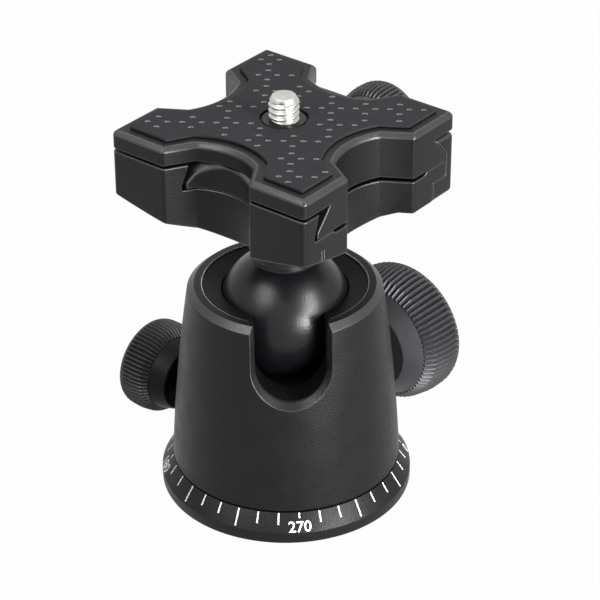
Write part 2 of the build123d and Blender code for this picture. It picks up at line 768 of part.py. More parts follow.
def stem_screw():
    """Screw that pulls the clamp down on the neck."""
    top = RAIL_Z - FLOOR_RELIEF - STEM_HEAD_SINK
    body = tube(STEM_SCREW_R, 0, NECK_BORE_BOTTOM + 1, top) + stem_screw_head(0)
    socket = Pos(0, 0, top) * extrude(
        RegularPolygon(STEM_SOCKET_AF / 2, 6, major_radius=False), -STEM_SOCKET_DEPTH)
    return in_clamp(body - socket)


def clamp_screw_hole():
    rod = tube(CLAMP_SCREW_R + RUN, 0, CLAMP_SCREW_FROM - 1, FAR)
    return outward(90, CLAMP_SCREW_Z) * rod


def guide_pin_pair(radius, end):
    """Two equal pins beside the clamp screw, up to the given distance."""
    pin = outward(90, PIN_Z) * tube(radius, 0, PIN_FROM, end)
    return Pos(PIN_X, 0, 0) * pin + Pos(-PIN_X, 0, 0) * pin


def guide_pins():
    pair = guide_pin_pair(PIN_R, PIN_TO)
    return in_clamp(Compound(list(pair.solids())))


def moving_jaw():
    """Jaw with a foot under the base's tongue and a lip over the dovetail."""
    lip_z = JAW_TOP
    leg = JAW_LEG_Y + SLIDE
    shoulder = DOVE_Z + DOVE_FOOT
    # The lip's slope runs beside the dovetail's, one clearance away
    slope = tan(radians(DOVE_ANGLE))
    beside = DOVE_RIGHT + SLIDE / cos(radians(DOVE_ANGLE))
    knee_z = shoulder + (beside - leg) / slope
    lip_y = beside - (lip_z - shoulder) * slope
    foot_y = JAW_FOOT_Y + SLIDE
    foot_top = JAW_FOOT_TOP - SLIDE
    section = along_slide(
        (foot_y, JAW_BOTTOM), (PLATE_HALF, JAW_BOTTOM), (PLATE_HALF, lip_z), (lip_y, lip_z),
        (leg, knee_z), (leg, foot_top), (foot_y, foot_top))
    body = cross_block(JAW_BOTTOM, lip_z, False) & section
    body = fillet(long_outer_edges(body), JAW_ROUND)
    body -= clamp_screw_hole()
    body -= guide_pin_pair(PIN_R + RUN, PIN_TO + 0.4)
    return in_clamp(body)


def long_outer_edges(body):
    """The jaw's two outer edges along its length."""
    return [edge for edge in body.edges().filter_by(Axis.X)
            if abs(edge.center().Y - PLATE_HALF) < 0.01]


def clamp_washer():
    ring = tube(CLAMP_WASHER_R, CLAMP_SCREW_R + RUN, PLATE_HALF + SLIDE,
                PLATE_HALF + SLIDE + CLAMP_WASHER)
    return in_clamp(outward(90, CLAMP_SCREW_Z) * ring)


def clamp_screw():
    end = clamp_grip()[-1][0] - SHAFT_COVER
    rod = tube(CLAMP_SCREW_R, 0, CLAMP_SCREW_FROM, end)
    return in_clamp(outward(90, CLAMP_SCREW_Z) * rod)


def clamp_knob():
    body = knob(clamp_hub(), clamp_grip(), CLAMP_RIDGE_COUNT, CLAMP_RIDGE, CLAMP_SCREW_R)
    return in_clamp(outward(90, CLAMP_SCREW_Z) * body)


def clamp_knob_grub():
    return in_clamp(outward(90, CLAMP_SCREW_Z) * grub_screw(clamp_hub(), CLAMP_SCREW_R))


# ---- Plate ----

def camera_head_top():
    return DOVE_Z + CAMERA_HEAD_SINK + CAMERA_HEAD_THICK


def ring_low():
    return PLATE_TOP + SLIDE


def camera_plate():
    """Cross-shaped slab with the dovetail under it."""
    slab = cross_block(SLAB_Z, PLATE_TOP, True)
    slab = chamfer(slab.faces().sort_by(Axis.Z)[-1].edges(), SLAB_BEVEL)
    keel = cross_block(DOVE_Z, SLAB_Z, True) & dovetail_bar()
    body = slab + keel
    body -= tube(CAMERA_SCREW_R + RUN, 0, 0, FAR)
    body -= tube(CAMERA_HEAD_R + 2 * SLIDE, 0, 0, camera_head_top() + SLIDE)
    return in_clamp(body)


def plate_pad():
    """Rubber pad, the cross again with a narrower outline."""
    pad = extrude(offset(cross_outline(True), -PAD_INSET, kind=Kind.INTERSECTION), PAD_THICK)
    pad -= tube(PAD_HOLE_R, 0, -1, PAD_THICK + 1)
    return in_clamp(Pos(0, 0, PLATE_TOP) * pad)


def camera_screw():
    """Screw for the camera, with a slotted head inside the plate."""
    tip = PAD_TOP + CAMERA_SCREW_RISE
    head_low = DOVE_Z + CAMERA_HEAD_SINK
    taper = CAMERA_SCREW_R - CAMERA_SCREW_TIP_R
    body = turned((0, head_low), (CAMERA_HEAD_R - EDGE, head_low),
                  (CAMERA_HEAD_R, head_low + EDGE), (CAMERA_HEAD_R, camera_head_top()),
                  (CAMERA_SHANK_R, camera_head_top()), (CAMERA_SHANK_R, ring_low() + RING_THICK),
                  (CAMERA_SCREW_R, ring_low() + RING_THICK), (CAMERA_SCREW_R, tip - taper),
                  (CAMERA_SCREW_TIP_R, tip), (0, tip))
    body -= Pos(0, 0, head_low) * Box(4 * CAMERA_HEAD_R, CAMERA_SLOT, 2 * CAMERA_SLOT_DEPTH)
    return in_clamp(body)


def screw_ring():
    """Clip on the screw's shank that keeps it in the plate."""
    return in_clamp(tube(RING_R, CAMERA_SHANK_R, ring_low(), ring_low() + RING_THICK))


PARTS = {
    "pan_base": pan_base,
    "thread_insert": thread_insert,
    "keeper_plate": keeper_plate,
    "keeper_screws": keeper_screws,
    "pan_washer": pan_washer,
    "body_housing": body_housing,
    "ball_collar": ball_collar,
    "lift_cup": lift_cup,
    "cup_liner": cup_liner,
    "lift_plunger": lift_plunger,
    "lock_wedge": lock_wedge,
    "lock_bush": lock_bush,
    "lock_screw": lock_screw,
    "lock_knob": lock_knob,
    "lock_knob_grub": lock_knob_grub,
    "brake_tip": brake_tip,
    "pan_bush": pan_bush,
    "pan_screw": pan_screw,
    "pan_knob": pan_knob,
    "pan_knob_grub": pan_knob_grub,
    "ball": ball,
    "ball_neck": ball_neck,
    "clamp_base": lambda: in_clamp(clamp_base()),
    "stem_screw": stem_screw,
    "guide_pins": guide_pins,
    "moving_jaw": moving_jaw,
    "clamp_washer": clamp_washer,
    "clamp_screw": clamp_screw,
    "clamp_knob": clamp_knob,
    "clamp_knob_grub": clamp_knob_grub,
    "camera_plate": camera_plate,
    "plate_pad": plate_pad,
    "camera_screw": camera_screw,
    "screw_ring": screw_ring,
}

os.makedirs("parts", exist_ok=True)
for name, make in PARTS.items():
    export_step(make(), f"parts/{name}.step")
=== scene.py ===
"""Looks of a tripod ball head: dial base, slotted housing, ball, knobs, clamp and camera plate.

Sizes are in millimetres and become metres in the meshes. The origin is the centre of the
base's underside, +Z is up and the housing's slot opens towards -Y.
"""
import json
import math

import bmesh
import bpy
import numpy as np
from bpy.props import FloatProperty, FloatVectorProperty, PointerProperty
from mathutils import Matrix, Vector


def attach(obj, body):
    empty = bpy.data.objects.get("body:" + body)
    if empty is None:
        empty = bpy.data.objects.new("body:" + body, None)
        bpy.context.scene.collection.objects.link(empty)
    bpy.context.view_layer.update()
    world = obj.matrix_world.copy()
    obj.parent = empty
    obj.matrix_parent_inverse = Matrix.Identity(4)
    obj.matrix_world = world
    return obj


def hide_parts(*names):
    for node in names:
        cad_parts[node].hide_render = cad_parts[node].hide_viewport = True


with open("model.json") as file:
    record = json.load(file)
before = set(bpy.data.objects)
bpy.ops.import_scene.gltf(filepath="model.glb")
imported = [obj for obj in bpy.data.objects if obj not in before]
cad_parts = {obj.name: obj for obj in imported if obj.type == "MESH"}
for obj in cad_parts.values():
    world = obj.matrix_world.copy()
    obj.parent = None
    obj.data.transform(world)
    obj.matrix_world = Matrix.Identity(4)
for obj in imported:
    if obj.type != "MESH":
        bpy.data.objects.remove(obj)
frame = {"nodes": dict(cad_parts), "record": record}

bl_info = {
    "name": "Ball Head",
    "version": (1, 0, 0),
    "blender": (4, 5, 0),
    "location": "View3D > Sidebar > Ball Head",
    "description": "Dresses a tripod ball head and sets its stage",
    "category": "Object",
}

MM = 0.001

# Dial: the cone's bottom and top edge as (radius, height)
CONE_BOTTOM = (27.2, 2.62)
CONE_TOP = (24.7, 6.22)
MARKS = 36
MARK_TURN = math.radians(2.7)  # from the front towards +X, where the front number stands
MARK_HALF = 0.17
FRONT_NUMBER = 270
NUMBER_EVERY = 9  # marks between two numbers
LONG_EVERY = 3
TICK_START = 0.1  # from the cone's upper edge
TICK_SHORT = 2.45
TICK_LONG = 3.8
TICK_NUMBER = 1.15
NUMBER_HEIGHT = 2.3
NUMBER_NARROW = 1.02
NUMBER_BOLD = 0.012  # share of the letter size each stroke grows by
NUMBER_FOOT = 0.25  # from the cone's lower edge
NUMBER_PROUD = 0.012  # how far they stand out of the cone
MARK_SINK = 0.05  # how far ticks reach into the cone
MARK_PROUD = 0.02  # and out of it

# Base under and inside the housing
INSERT_R = 7.0
INSERT_TOP = 13.0
THREAD_R = 5.16
RECESS = (12.0, 21.5)  # the underside's ring recess, inner and outer radius
RECESS_DEPTH = 0.7
TABLE_R = 23.9
TABLE_Z = 5.9
SPIGOT_R = 15.0
SPIGOT_TOP = 14.3
GROOVE_R = 13.5
GROOVE_Z = 11.5
GROOVE_HALF = 1.9

# Housing: the side's arc as (radius, height), then the rim and the bores
SIDE_ARC = ((24.7, 6.85), (23.2, 26.8), (20.75, 46.95))
RIM_OUT = (19.2, 48.3)
BORE_R = 17.5
BORE_TOP = 48.05
CHAMBER_R = 14.6
CHAMBER_BEND = 28.0  # where the chamber's wall starts to follow the slot
COLLAR_FOOT = 38.2
FOOT_Z = 6.45
SPIGOT_HOLE_R = 15.05
KEEPER_ROOM = (16.7, 14.15, 15.6)  # radius, lower and upper height
PLUNGER_HOLE_R = 3.6
FLOOR_TOP = 22.0
SLOT_HALF = 7.45
SLOT_CENTRE = 38.95
SLOT_FLARE = 1.0
SLOT_FLARE_DEPTH = 2.0
SLOT_LIP = 0.2
SLOT_CORNER = 1.5

# Ball, and the neck from its ledge on the ball to the pin in the clamp
BALL_R = 14.3
BALL_Z = 41.6
LEDGE_R = 7.0
LEDGE_TOP = 54.8
NECK_R = 6.75
NECK_TOP = 64.95
NECK_PIN_R = 5.0
NECK_PIN_TOP = 68.0
NECK_BORE_R = 3.05
NECK_BORE_FOOT = 58.0

# Knobs: azimuth and height of the axis, distance of the inner end from the pan axis, then
# stations (distance from there, radius) of hub and grip, and the number of ridges. The clamp
# knob's azimuth is in the clamp's frame
LOCK_KNOB = {"azimuth": 45.0, "height": 18.5, "start": 28.55, "hub": ((0, 9.5), (3.1, 12.9)),
             "grip": ((3.1, 13.4), (5.1, 14.9), (9.1, 15.6), (12.4, 15.5), (13.3, 15.0)),
             "ridges": 72}
PAN_KNOB = {"azimuth": 135.0, "height": 11.5, "start": 29.56, "hub": ((0, 7.5), (4.0, 8.7)),
            "grip": ((4.0, 9.0), (5.4, 10.1), (7.9, 10.5), (10.9, 10.4), (11.6, 10.0)),
            "ridges": 64}
CLAMP_KNOB = {"azimuth": 90.0, "height": 72.2, "start": 25.5, "hub": ((0, 6.2), (3.1, 7.9)),
              "grip": ((3.1, 8.2), (4.3, 9.0), (6.6, 9.3), (9.4, 9.2), (10.1, 8.8)),
              "ridges": 56}
DISH_SHARE = 0.62
DISH_DEPTH = 0.6
RIDGE_COLUMNS = 8  # columns of the surface over one ridge
SMALL_RIDGES = 0.75  # depth of the small knobs' ridges, as a share

# Clamp
CLAMP_YAW = math.radians(-42.26)
SCRIBED_PLACES = (-19.33, -18.54)
SCRIBED_HALF = 0.09
SCRIBED_FOOT = 70.9
SCRIBED_TALL = 2.2

# Plate and pad, in the clamp's frame
PLATE_HALF = 24.8
BITE = ((24.8, 11.0), (19.0, 7.5), (16.9, 0.0))
PAD_INSET = 2.7
PAD_TOP = 86.75
PAD_HOLE_R = 5.0
PAD_ROUND = 0.2
CUT_TILT = (0.3, 0.95)  # faces whose normal has this share of Z count as cut
BROKEN_FROM = math.radians(32)  # edges sharper than this are broken

# The pad's raised marks, in the head's frame
WEAVE_START = (-5.3, -6.0)
WEAVE_RIGHT = (6.9, -0.8)
WEAVE_UP = (0.9, 7.4)
WEAVE_APART = (1.5, 1.53)  # half way between the two marks of a pair, beside and behind
PAD_MARK_HALF = 0.34
PAD_MARK_TALL = 0.18
PAD_MARK_SINK = 0.03
PAD_MARK_LEAN = math.radians(-6.6)
PAD_MARK_CLEAR = (0.75, 0.9)  # from a mark's middle to the pad's edge and hole, at least

# Camera screw
SCREW_R = 3.175
SCREW_ROOT = 2.62
SCREW_PITCH = 1.27
SCREW_TOP = 91.75
SCREW_TIP_R = 2.45
SCREW_TIP_TALL = 0.9
THREAD_FOOT = 86.6
SCREW_NECK_R = 2.6
SCREW_HEAD = (7.0, 77.0, 79.6)  # radius, lower and upper height

# The view: camera position, direction of sight, pitch, roll and lens
EYE = (-25.7, -433.8, 305.8)
SIGHT = (0.0663, 0.9978)
PITCH = math.radians(-31.10)
ROLL = math.radians(-0.177)
LENS = 144.07

# The stage. For each softbox its name, its ends' directions from the ball as (azimuth,
# elevation) in degrees, its distance and width in metres, and its radiance
SOFTBOXES = (
    ("softbox_left", (-133, 31), (-166, 62), 0.62, 0.27, 7.0),
    ("softbox_right", (-56, -2), (-33, 42), 0.62, 0.13, 32.0),
    ("softbox_low", (-64, -3), (-58, 9), 0.62, 0.2, 36.0),
    ("softbox_back", (35, 48), (145, 48), 0.75, 0.1, 5.0),
)
FLOOR_REACH = 1500.0
FLOOR_Z = -0.05
FLOOR_WHITE = 0.985  # share of plain white that seen rays get from the floor
FLOOR_GREY = 0.2
ROOM_FADE = (-0.3, 0.7)  # from where to where, front to back, the room gets lighter
ROOM_DIM = 0.1  # its share in front

WELD = 0.004  # points closer than this become one
FINE_WELD = 0.001  # the same for small marks
FACET_WELD = 0.002  # the same for copies of the CAD's facets
FLAT = math.radians(1.2)  # facets that meet at less than this become one
BLOTCH = 6.0  # size of the slow change in colour and roughness
NOISE_SPAN = (0.3, 0.7)  # where the blotches' noise mostly lies


# ---- Small helpers ----

def to_linear(code):
    """Linear colour of an sRGB hex code."""
    parts = [int(code[i:i + 2], 16) / 255 for i in (1, 3, 5)]
    return tuple(c / 12.92 if c <= 0.04045 else ((c + 0.055) / 1.055) ** 2.4 for c in parts)


def add_node(tree, kind, settings=None, inputs=None, links=None):
    """Add one shader node; settings are attributes, inputs socket values, links their sources."""
    node = tree.nodes.new(kind)
    for key, value in (settings or {}).items():
        setattr(node, key, value)
    for key, value in (inputs or {}).items():
        node.inputs[key].default_value = value
    for key, source in (links or {}).items():
        tree.links.new(source, node.inputs[key])
    return node


def new_mesh(name, points, faces):
    """Mesh from (n, 3) points in millimetres and (m, k) corner numbers."""
    mesh = bpy.data.meshes.new(name)
    points = np.asarray(points, float).reshape(-1, 3) * MM
    corners = np.asarray(faces, np.int32)
    mesh.vertices.add(len(points))
    mesh.vertices.foreach_set("co", points.astype(np.float32).ravel())
    mesh.loops.add(corners.size)
    mesh.loops.foreach_set("vertex_index", corners.ravel())
    mesh.polygons.add(len(corners))
    mesh.polygons.foreach_set("loop_start", np.arange(0, corners.size, corners.shape[1],
                                                      dtype=np.int32))
    mesh.update(calc_edges=True)
    return mesh


def grid_faces(rows, columns, wrap_rows, wrap_columns, start=0):
    """Corner numbers of the quads of a rows by columns grid of points."""
    row = np.arange(rows if wrap_rows else rows - 1)
    column = np.arange(columns if wrap_columns else columns - 1)
    r, c = np.meshgrid(row, column, indexing="ij")
    r2 = (r + 1) % rows
    c2 = (c + 1) % columns
    quads = np.stack([r * columns + c, r * columns + c2, r2 * columns + c2, r2 * columns + c], -1)
    return quads.reshape(-1, 4) + start


def grids_mesh(name, grids):
    """One closed mesh from grids of points, each (points, wrap rows, wrap columns)."""
    points = []
    faces = []
    count = 0
    for grid, wrap_rows, wrap_columns in grids:
        rows, columns = grid.shape[:2]
        faces.append(grid_faces(rows, columns, wrap_rows, wrap_columns, count))
        points.append(grid.reshape(-1, 3))
        count += rows * columns
    mesh = new_mesh(name, np.concatenate(points), np.concatenate(faces))
    weld_mesh(mesh, WELD)
    return mesh


def weld_mesh(mesh, weld, flat=None):
    """Merge doubled points and point the faces outwards.

    Faces with no area are dropped or, where a flat angle is given, all that meet at less than
    it become one.
    """
    work = bmesh.new()
    work.from_mesh(mesh)
    bmesh.ops.remove_doubles(work, verts=work.verts, dist=weld * MM)
    if flat is None:
        bmesh.ops.dissolve_degenerate(work, dist=weld * MM / 4, edges=work.edges)
    else:
        bmesh.ops.dissolve_limit(work, angle_limit=flat, verts=work.verts, edges=work.edges)
    bmesh.ops.recalc_face_normals(work, faces=work.faces)
    work.to_mesh(mesh)
    work.free()


def new_object(name, data):
    """Object of that data, linked into the scene."""
    made = bpy.data.objects.new(name, data)
    bpy.context.scene.collection.objects.link(made)
    return made


def finish(name, mesh, key, body, replaced=(), angle=32, zones=None, others=("cut_edge",)):
    """Object of a finished mesh that rides on its body and stands for CAD nodes.

    Edges sharper than the angle stay sharp. zones holds 0 for each face with the main finish,
    or the place of its finish in others, counted from 1.
    """
    mesh.shade_smooth()
    mesh.set_sharp_from_angle(angle=math.radians(angle))
    mesh.materials.clear()
    mesh.materials.append(material(key))
    if zones is not None:
        for other in others:
            mesh.materials.append(material(other))
        mesh.polygons.foreach_set("material_index", zones.astype(np.int32))
    piece = new_object(name, mesh)
    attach(piece, body)
    if replaced:
        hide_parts(*replaced)
    return piece


def face_facts(mesh):
    """Centres in millimetres and normals of a mesh's faces."""
    facts = np.empty((2, len(mesh.polygons), 3), np.float32)
    for kind, values in zip(("center", "normal"), facts):
        mesh.polygons.foreach_get(kind, values.ravel())
    return facts[0] / MM, facts[1]


def eased_copy(node, name, width, key="body", has_cut=True):
    """Copy of a CAD node with its facets merged and its edges broken by a small round.

    Where it has cut edges, its sloping faces and the rounds get their brighter finish.
    """
    mesh = frame["nodes"][node].data.copy()
    weld_mesh(mesh, FACET_WELD, FLAT)
    cut = None
    if has_cut:
        tilt = np.abs(face_facts(mesh)[1][:, 2])
        cut = (tilt > CUT_TILT[0]) & (tilt < CUT_TILT[1])
    piece = finish(name, mesh, key, BODY_OF[node], [node], 30, cut)
    ease = piece.modifiers.new("Broken edges", "BEVEL")
    ease.material = 1 if has_cut else -1
    ease.width = width * MM
    ease.segments = 3
    ease.limit_method = "ANGLE"
    ease.angle_limit = BROKEN_FROM
    ease.miter_outer = "MITER_ARC"
    ease.harden_normals = True
    ease.use_clamp_overlap = False
    return piece


def circle_through(first, middle, last):
    """Centre and radius of the circle through three points of a plane."""
    (x1, y1), (x2, y2), (x3, y3) = first, middle, last
    matrix = np.array([[x2 - x1, y2 - y1], [x3 - x1, y3 - y1]]) * 2
    sums = np.array([x2 ** 2 - x1 ** 2 + y2 ** 2 - y1 ** 2, x3 ** 2 - x1 ** 2 + y3 ** 2 - y1 ** 2])
    centre = np.linalg.solve(matrix, sums)
    return centre, math.hypot(x1 - centre[0], y1 - centre[1])


def rounded_path(corners, radii, steps, closed=False):
    """Polyline with its corners rounded: each becomes an arc tangent to its two sides."""
    corners = [np.array(corner, float) for corner in corners]
    count = len(corners)
    path = []
    for i, corner in enumerate(corners):
        radius = radii[i]
        if radius <= 0 or (not closed and i in (0, count - 1)):
            path.append(corner)
            continue
        back = corners[i - 1] - corner
        ahead = corners[(i + 1) % count] - corner
        back /= np.linalg.norm(back)
        ahead /= np.linalg.norm(ahead)
        half = math.acos(np.clip(back @ ahead, -1, 1)) / 2
        reach = radius / math.tan(half)
        middle = corner + (back + ahead) / np.linalg.norm(back + ahead) * radius / math.sin(half)
        start = corner + back * reach - middle
        end = corner + ahead * reach - middle
        total = math.atan2(start[0] * end[1] - start[1] * end[0], start @ end)
        angle = total * np.linspace(0, 1, steps)
        c, s = np.cos(angle), np.sin(angle)
        arc = np.stack([c * start[0] - s * start[1], s * start[0] + c * start[1]], -1)
        path.extend(middle + arc)
    return np.array(path)


def lathe(profile, columns):
    """Profile turned about Z: its point (r, z) at angle a is at (r sin a, -r cos a, z)."""
    angle = np.linspace(0, 2 * math.pi, columns, endpoint=False)
    r = profile[:, :1]
    z = np.repeat(profile[:, 1:], columns, 1)
    return np.stack([r * np.sin(angle), -r * np.cos(angle), z], -1)


def turned(points, angle):
    """Points turned about Z by the angle, from +X towards +Y."""
    c, s = math.cos(angle), math.sin(angle)
    return points @ np.array([[c, s, 0], [-s, c, 0], [0, 0, 1]])


# ---- Materials ----

def surface(name, colour, roughness, metallic=0.0, specular=0.5, grit=0.0, grain=0.25,
            drift=0.1, edge=0.0):
    """Shared build of the finishes below.

    grit is the height of a grain and grain its size, drawn coarser than the real one, which is
    too fine to show. drift is how far colour and roughness wander, and edge rounds the shading
    of sharp edges.
    """
    made = bpy.data.materials.new(name)
    made.use_nodes = True
    tree = made.node_tree
    shader = tree.nodes["Principled BSDF"]
    shader.inputs["Metallic"].default_value = metallic
    shader.inputs["Specular IOR Level"].default_value = specular
    place = add_node(tree, "ShaderNodeTexCoord").outputs["Object"]
    wander = add_node(tree, "ShaderNodeTexNoise", None,
                      {"Scale": 1 / (BLOTCH * MM), "Detail": 3.0, "Roughness": 0.6},
                      {"Vector": place})
    rough = add_node(tree, "ShaderNodeMapRange", None,
                     {"From Min": NOISE_SPAN[0], "From Max": NOISE_SPAN[1],
                      "To Min": roughness * (1 - drift),
                      "To Max": min(1, roughness * (1 + drift))}, {"Value": wander.outputs["Fac"]})
    tree.links.new(rough.outputs["Result"], shader.inputs["Roughness"])
    ramp = add_node(tree, "ShaderNodeValToRGB", None, None, {"Fac": wander.outputs["Fac"]})
    for element, place_on, share in zip(ramp.color_ramp.elements, NOISE_SPAN,
                                        (1 - drift, 1 + drift)):
        element.position = place_on
        element.color = (*[min(1, c * share) for c in colour], 1)
    tree.links.new(ramp.outputs["Color"], shader.inputs["Base Color"])
    normal = None
    if edge > 0:
        normal = add_node(tree, "ShaderNodeBevel", {"samples": 6},
                          {"Radius": edge * MM}).outputs["Normal"]
    if grit > 0:
        noise = add_node(tree, "ShaderNodeTexNoise", None,
                         {"Scale": 1 / (grain * MM), "Detail": 2.0}, {"Vector": place})
        bump = add_node(tree, "ShaderNodeBump", None, {"Strength": 1.0, "Distance": grit * MM},
                        {"Height": noise.outputs["Fac"]})
        if normal:
            tree.links.new(normal, bump.inputs["Normal"])
        normal = bump.outputs["Normal"]
    if normal:
        tree.links.new(normal, shader.inputs["Normal"])
    return made


def blasted_anodised():
    """Black anodised aluminium, bead blasted first: a soft sheen with a fine grain.

    The grain is drawn coarser than the blasting leaves it, so that it shows.
    """
    return surface("bead_blasted_black_anodised_aluminium", chosen_colour("body_colour"), 0.44,
                   specular=0.22, grit=0.05, grain=0.35, drift=0.12)


def cut_edge():
    """Edges cut after blasting and anodised thinly: a brighter, grainy satin."""
    return surface("cut_black_anodised_aluminium", to_linear("#161618"), 0.4, specular=0.6,
                   grit=0.035, grain=0.3, drift=0.15)


def worn_edge():
    """Pale line along the bore's sharp inner edge: a painted highlight."""
    return surface("rubbed_anodised_edge", to_linear("#8a8a8c"), 0.4, specular=1.0, drift=0.2)


def knob_anodised():
    """Black anodised aluminium with milled ridges: a little brighter where the cutter passed."""
    return surface("milled_black_anodised_aluminium", chosen_colour("knob_colour"), 0.38,
                   specular=0.35, grit=0.005, grain=0.25, drift=0.15)


def ball_anodised():
    """Turned, hard anodised aluminium: satin black with broad soft highlights."""
    return surface("satin_hard_anodised_aluminium", to_linear("#0c0c0e"), 0.3,
                   specular=0.3, grit=0.03, grain=0.3, drift=0.08)


def collar_anodised():
    """Black anodised aluminium left nearly matt: deep black with hardly a sheen. On the pan knob's
    hub the same finish is painted shade.
    """
    return surface("matt_black_anodised_aluminium", to_linear("#0a0a0b"), 0.5,
                   specular=0.12, grit=0.004, edge=0.15)


def moulded_rubber():
    """Moulded rubber: matt, dark grey, dry to the eye."""
    return surface("moulded_rubber", to_linear("#242426"), 0.62, specular=0.12, grit=0.03,
                   grain=0.22, drift=0.08)


def rubber_mark():
    """The same rubber where the mould was polished, so the small marks glint; their lighter grey
    is a painted glint.
    """
    return surface("polished_mould_rubber", to_linear("#424244"), 0.28, specular=0.8, drift=0.05)


def stainless():
    """Turned stainless steel: bright, slightly warm, with a fine machined grain."""
    return surface("turned_stainless_steel", to_linear("#c4c2bd"), 0.33, metallic=1.0,
                   grit=0.003, grain=0.15, drift=0.08)


def black_oxide():
    """Steel blackened in an oxide bath: dark, with a dull metal sheen."""
    return surface("black_oxide_steel", to_linear("#1f1f20"), 0.4, metallic=0.6, grit=0.004,
                   edge=0.15)


def dark_brass():
    """Turned brass, blackened on the outside: dark metal with a warm tint."""
    return surface("blackened_brass", to_linear("#2a251c"), 0.38, metallic=0.8, grit=0.004,
                   edge=0.15)


def natural_acetal():
    """Natural acetal: white and waxy."""
    return surface("natural_acetal", to_linear("#d8d7d0"), 0.42, specular=0.45, grit=0.004,
                   drift=0.03)


def mark_paint():
    """White paint filled into engraved marks: matt and clear against the black."""
    return surface("white_mark_paint", to_linear("#dededb"), 0.55, specular=0.3, drift=0.03)


def scribed_aluminium():
    """Bare aluminium at the bottom of a scribed line: a thin grey glint."""
    return surface("scribed_bare_aluminium", to_linear("#77777a"), 0.45, metallic=0.8, drift=0.05)


MAKERS = {
    "body": blasted_anodised, "cut_edge": cut_edge, "worn_edge": worn_edge,
    "knob": knob_anodised, "ball": ball_anodised, "collar": collar_anodised,
    "rubber": moulded_rubber, "rubber_mark": rubber_mark, "stainless": stainless,
    "oxide": black_oxide, "brass": dark_brass, "acetal": natural_acetal,
    "paint": mark_paint, "scribed": scribed_aluminium,
}
FINISHES = {}
BODY_OF = {node: body for body, nodes in frame["record"]["behaviour"]["bodies"].items()
           for node in nodes}

# CAD nodes that are shown as they are, by finish
CARRIED = {
    "stainless": ("thread_insert", "keeper_plate", "keeper_screws", "lift_plunger", "lock_wedge",
                  "guide_pins", "clamp_washer"),
    "acetal": ("pan_washer", "cup_liner"),
    "body": ("lift_cup",),
    "brass": ("lock_bush", "brake_tip", "pan_bush"),
    "oxide": ("lock_screw", "lock_knob_grub", "pan_screw", "pan_knob_grub", "stem_screw",
              "clamp_screw", "clamp_knob_grub", "screw_ring"),
    "collar": ("ball_collar",),
}


def material(key):
    """The finish of that name, made once."""
    if key not in FINISHES:
        FINISHES[key] = MAKERS[key]()
    return FINISHES[key]


def chosen():
    """The sizes and colours set in the sidebar."""
    return bpy.context.scene.ball_head


def chosen_colour(name):
    """A colour set in the sidebar, as a linear triple."""
    return tuple(getattr(chosen(), name))[:3]


# ---- Base and dial ----

def base_profile():
    """Closed outline of the turned base: underside, rim, dial cone, table and spigot."""
    inner, outer = RECESS
    corners = [(INSERT_R, 0), (inner, 0), (inner, RECESS_DEPTH), (outer, RECESS_DEPTH),
               (outer, 0), (CONE_BOTTOM[0], 0), CONE_BOTTOM, CONE_TOP, (TABLE_R, CONE_TOP[1]),
               (TABLE_R, TABLE_Z), (SPIGOT_R, TABLE_Z), (SPIGOT_R, GROOVE_Z - GROOVE_HALF),
               (GROOVE_R, GROOVE_Z), (SPIGOT_R, GROOVE_Z + GROOVE_HALF), (SPIGOT_R, SPIGOT_TOP),
               (THREAD_R, SPIGOT_TOP), (THREAD_R, INSERT_TOP), (INSERT_R, INSERT_TOP)]
    radii = [0.3, 0.3, 0.2, 0.2, 0.3, 0.4, 0.25, 0.15, 0.12, 0.12, 0.3, 0.2, 0.2, 0.2, 0.3, 0.3,
             0.2, 0.2]
    return rounded_path(corners, radii, 5, closed=True)


def build_base():
    """Turned base: its outline carried once round the axis."""
    mesh = grids_mesh("pan_dial", [(lathe(base_profile(), 240), True, True)])
    return finish("pan_dial", mesh, "body", "base", ["pan_base"])


def on_cone(across, up, height, angle):
    """Point of the dial's cone, from its lower edge at the angle: across along the edge, up the
    slope and by the height off the face."""
    low, top = np.array(CONE_BOTTOM), np.array(CONE_TOP)
    run = (top - low) / np.linalg.norm(top - low)
    r = low[0] + run[0] * up + run[1] * height
    z = low[1] + run[1] * up - run[0] * height
    turn = angle + across / r
    return np.stack([r * np.sin(turn), -r * np.cos(turn), z + 0 * turn], -1)


def box_faces(count):
    """Corner numbers of count boxes whose eight corners run in x, then y, then z."""
    faces = np.array([[0, 2, 3, 1], [4, 5, 7, 6], [0, 1, 5, 4], [2, 6, 7, 3], [0, 4, 6, 2],
                      [1, 3, 7, 5]])
    return (faces[None] + 8 * np.arange(count)[:, None, None]).reshape(-1, 4)


def tick_mesh():
    """All the dial's ticks: thin boxes from the cone's upper edge down its slope."""
    slope = math.dist(CONE_BOTTOM, CONE_TOP)
    number = np.arange(MARKS)
    length = np.where(number % LONG_EVERY == 0, TICK_LONG, TICK_SHORT)
    length = np.where(number % NUMBER_EVERY == 0, TICK_NUMBER, length)
    angle = MARK_TURN + 2 * math.pi * number / MARKS
    side = np.array([-1, 1] * 4)
    end = np.array([0, 0, 1, 1] * 2)
    lift = np.array([-MARK_SINK] * 4 + [MARK_PROUD] * 4)
    up = slope - TICK_START - length[:, None] * end
    points = on_cone(MARK_HALF * side + 0 * up, up, lift + 0 * up, angle[:, None])
    return new_mesh("ticks", points, box_faces(MARKS))


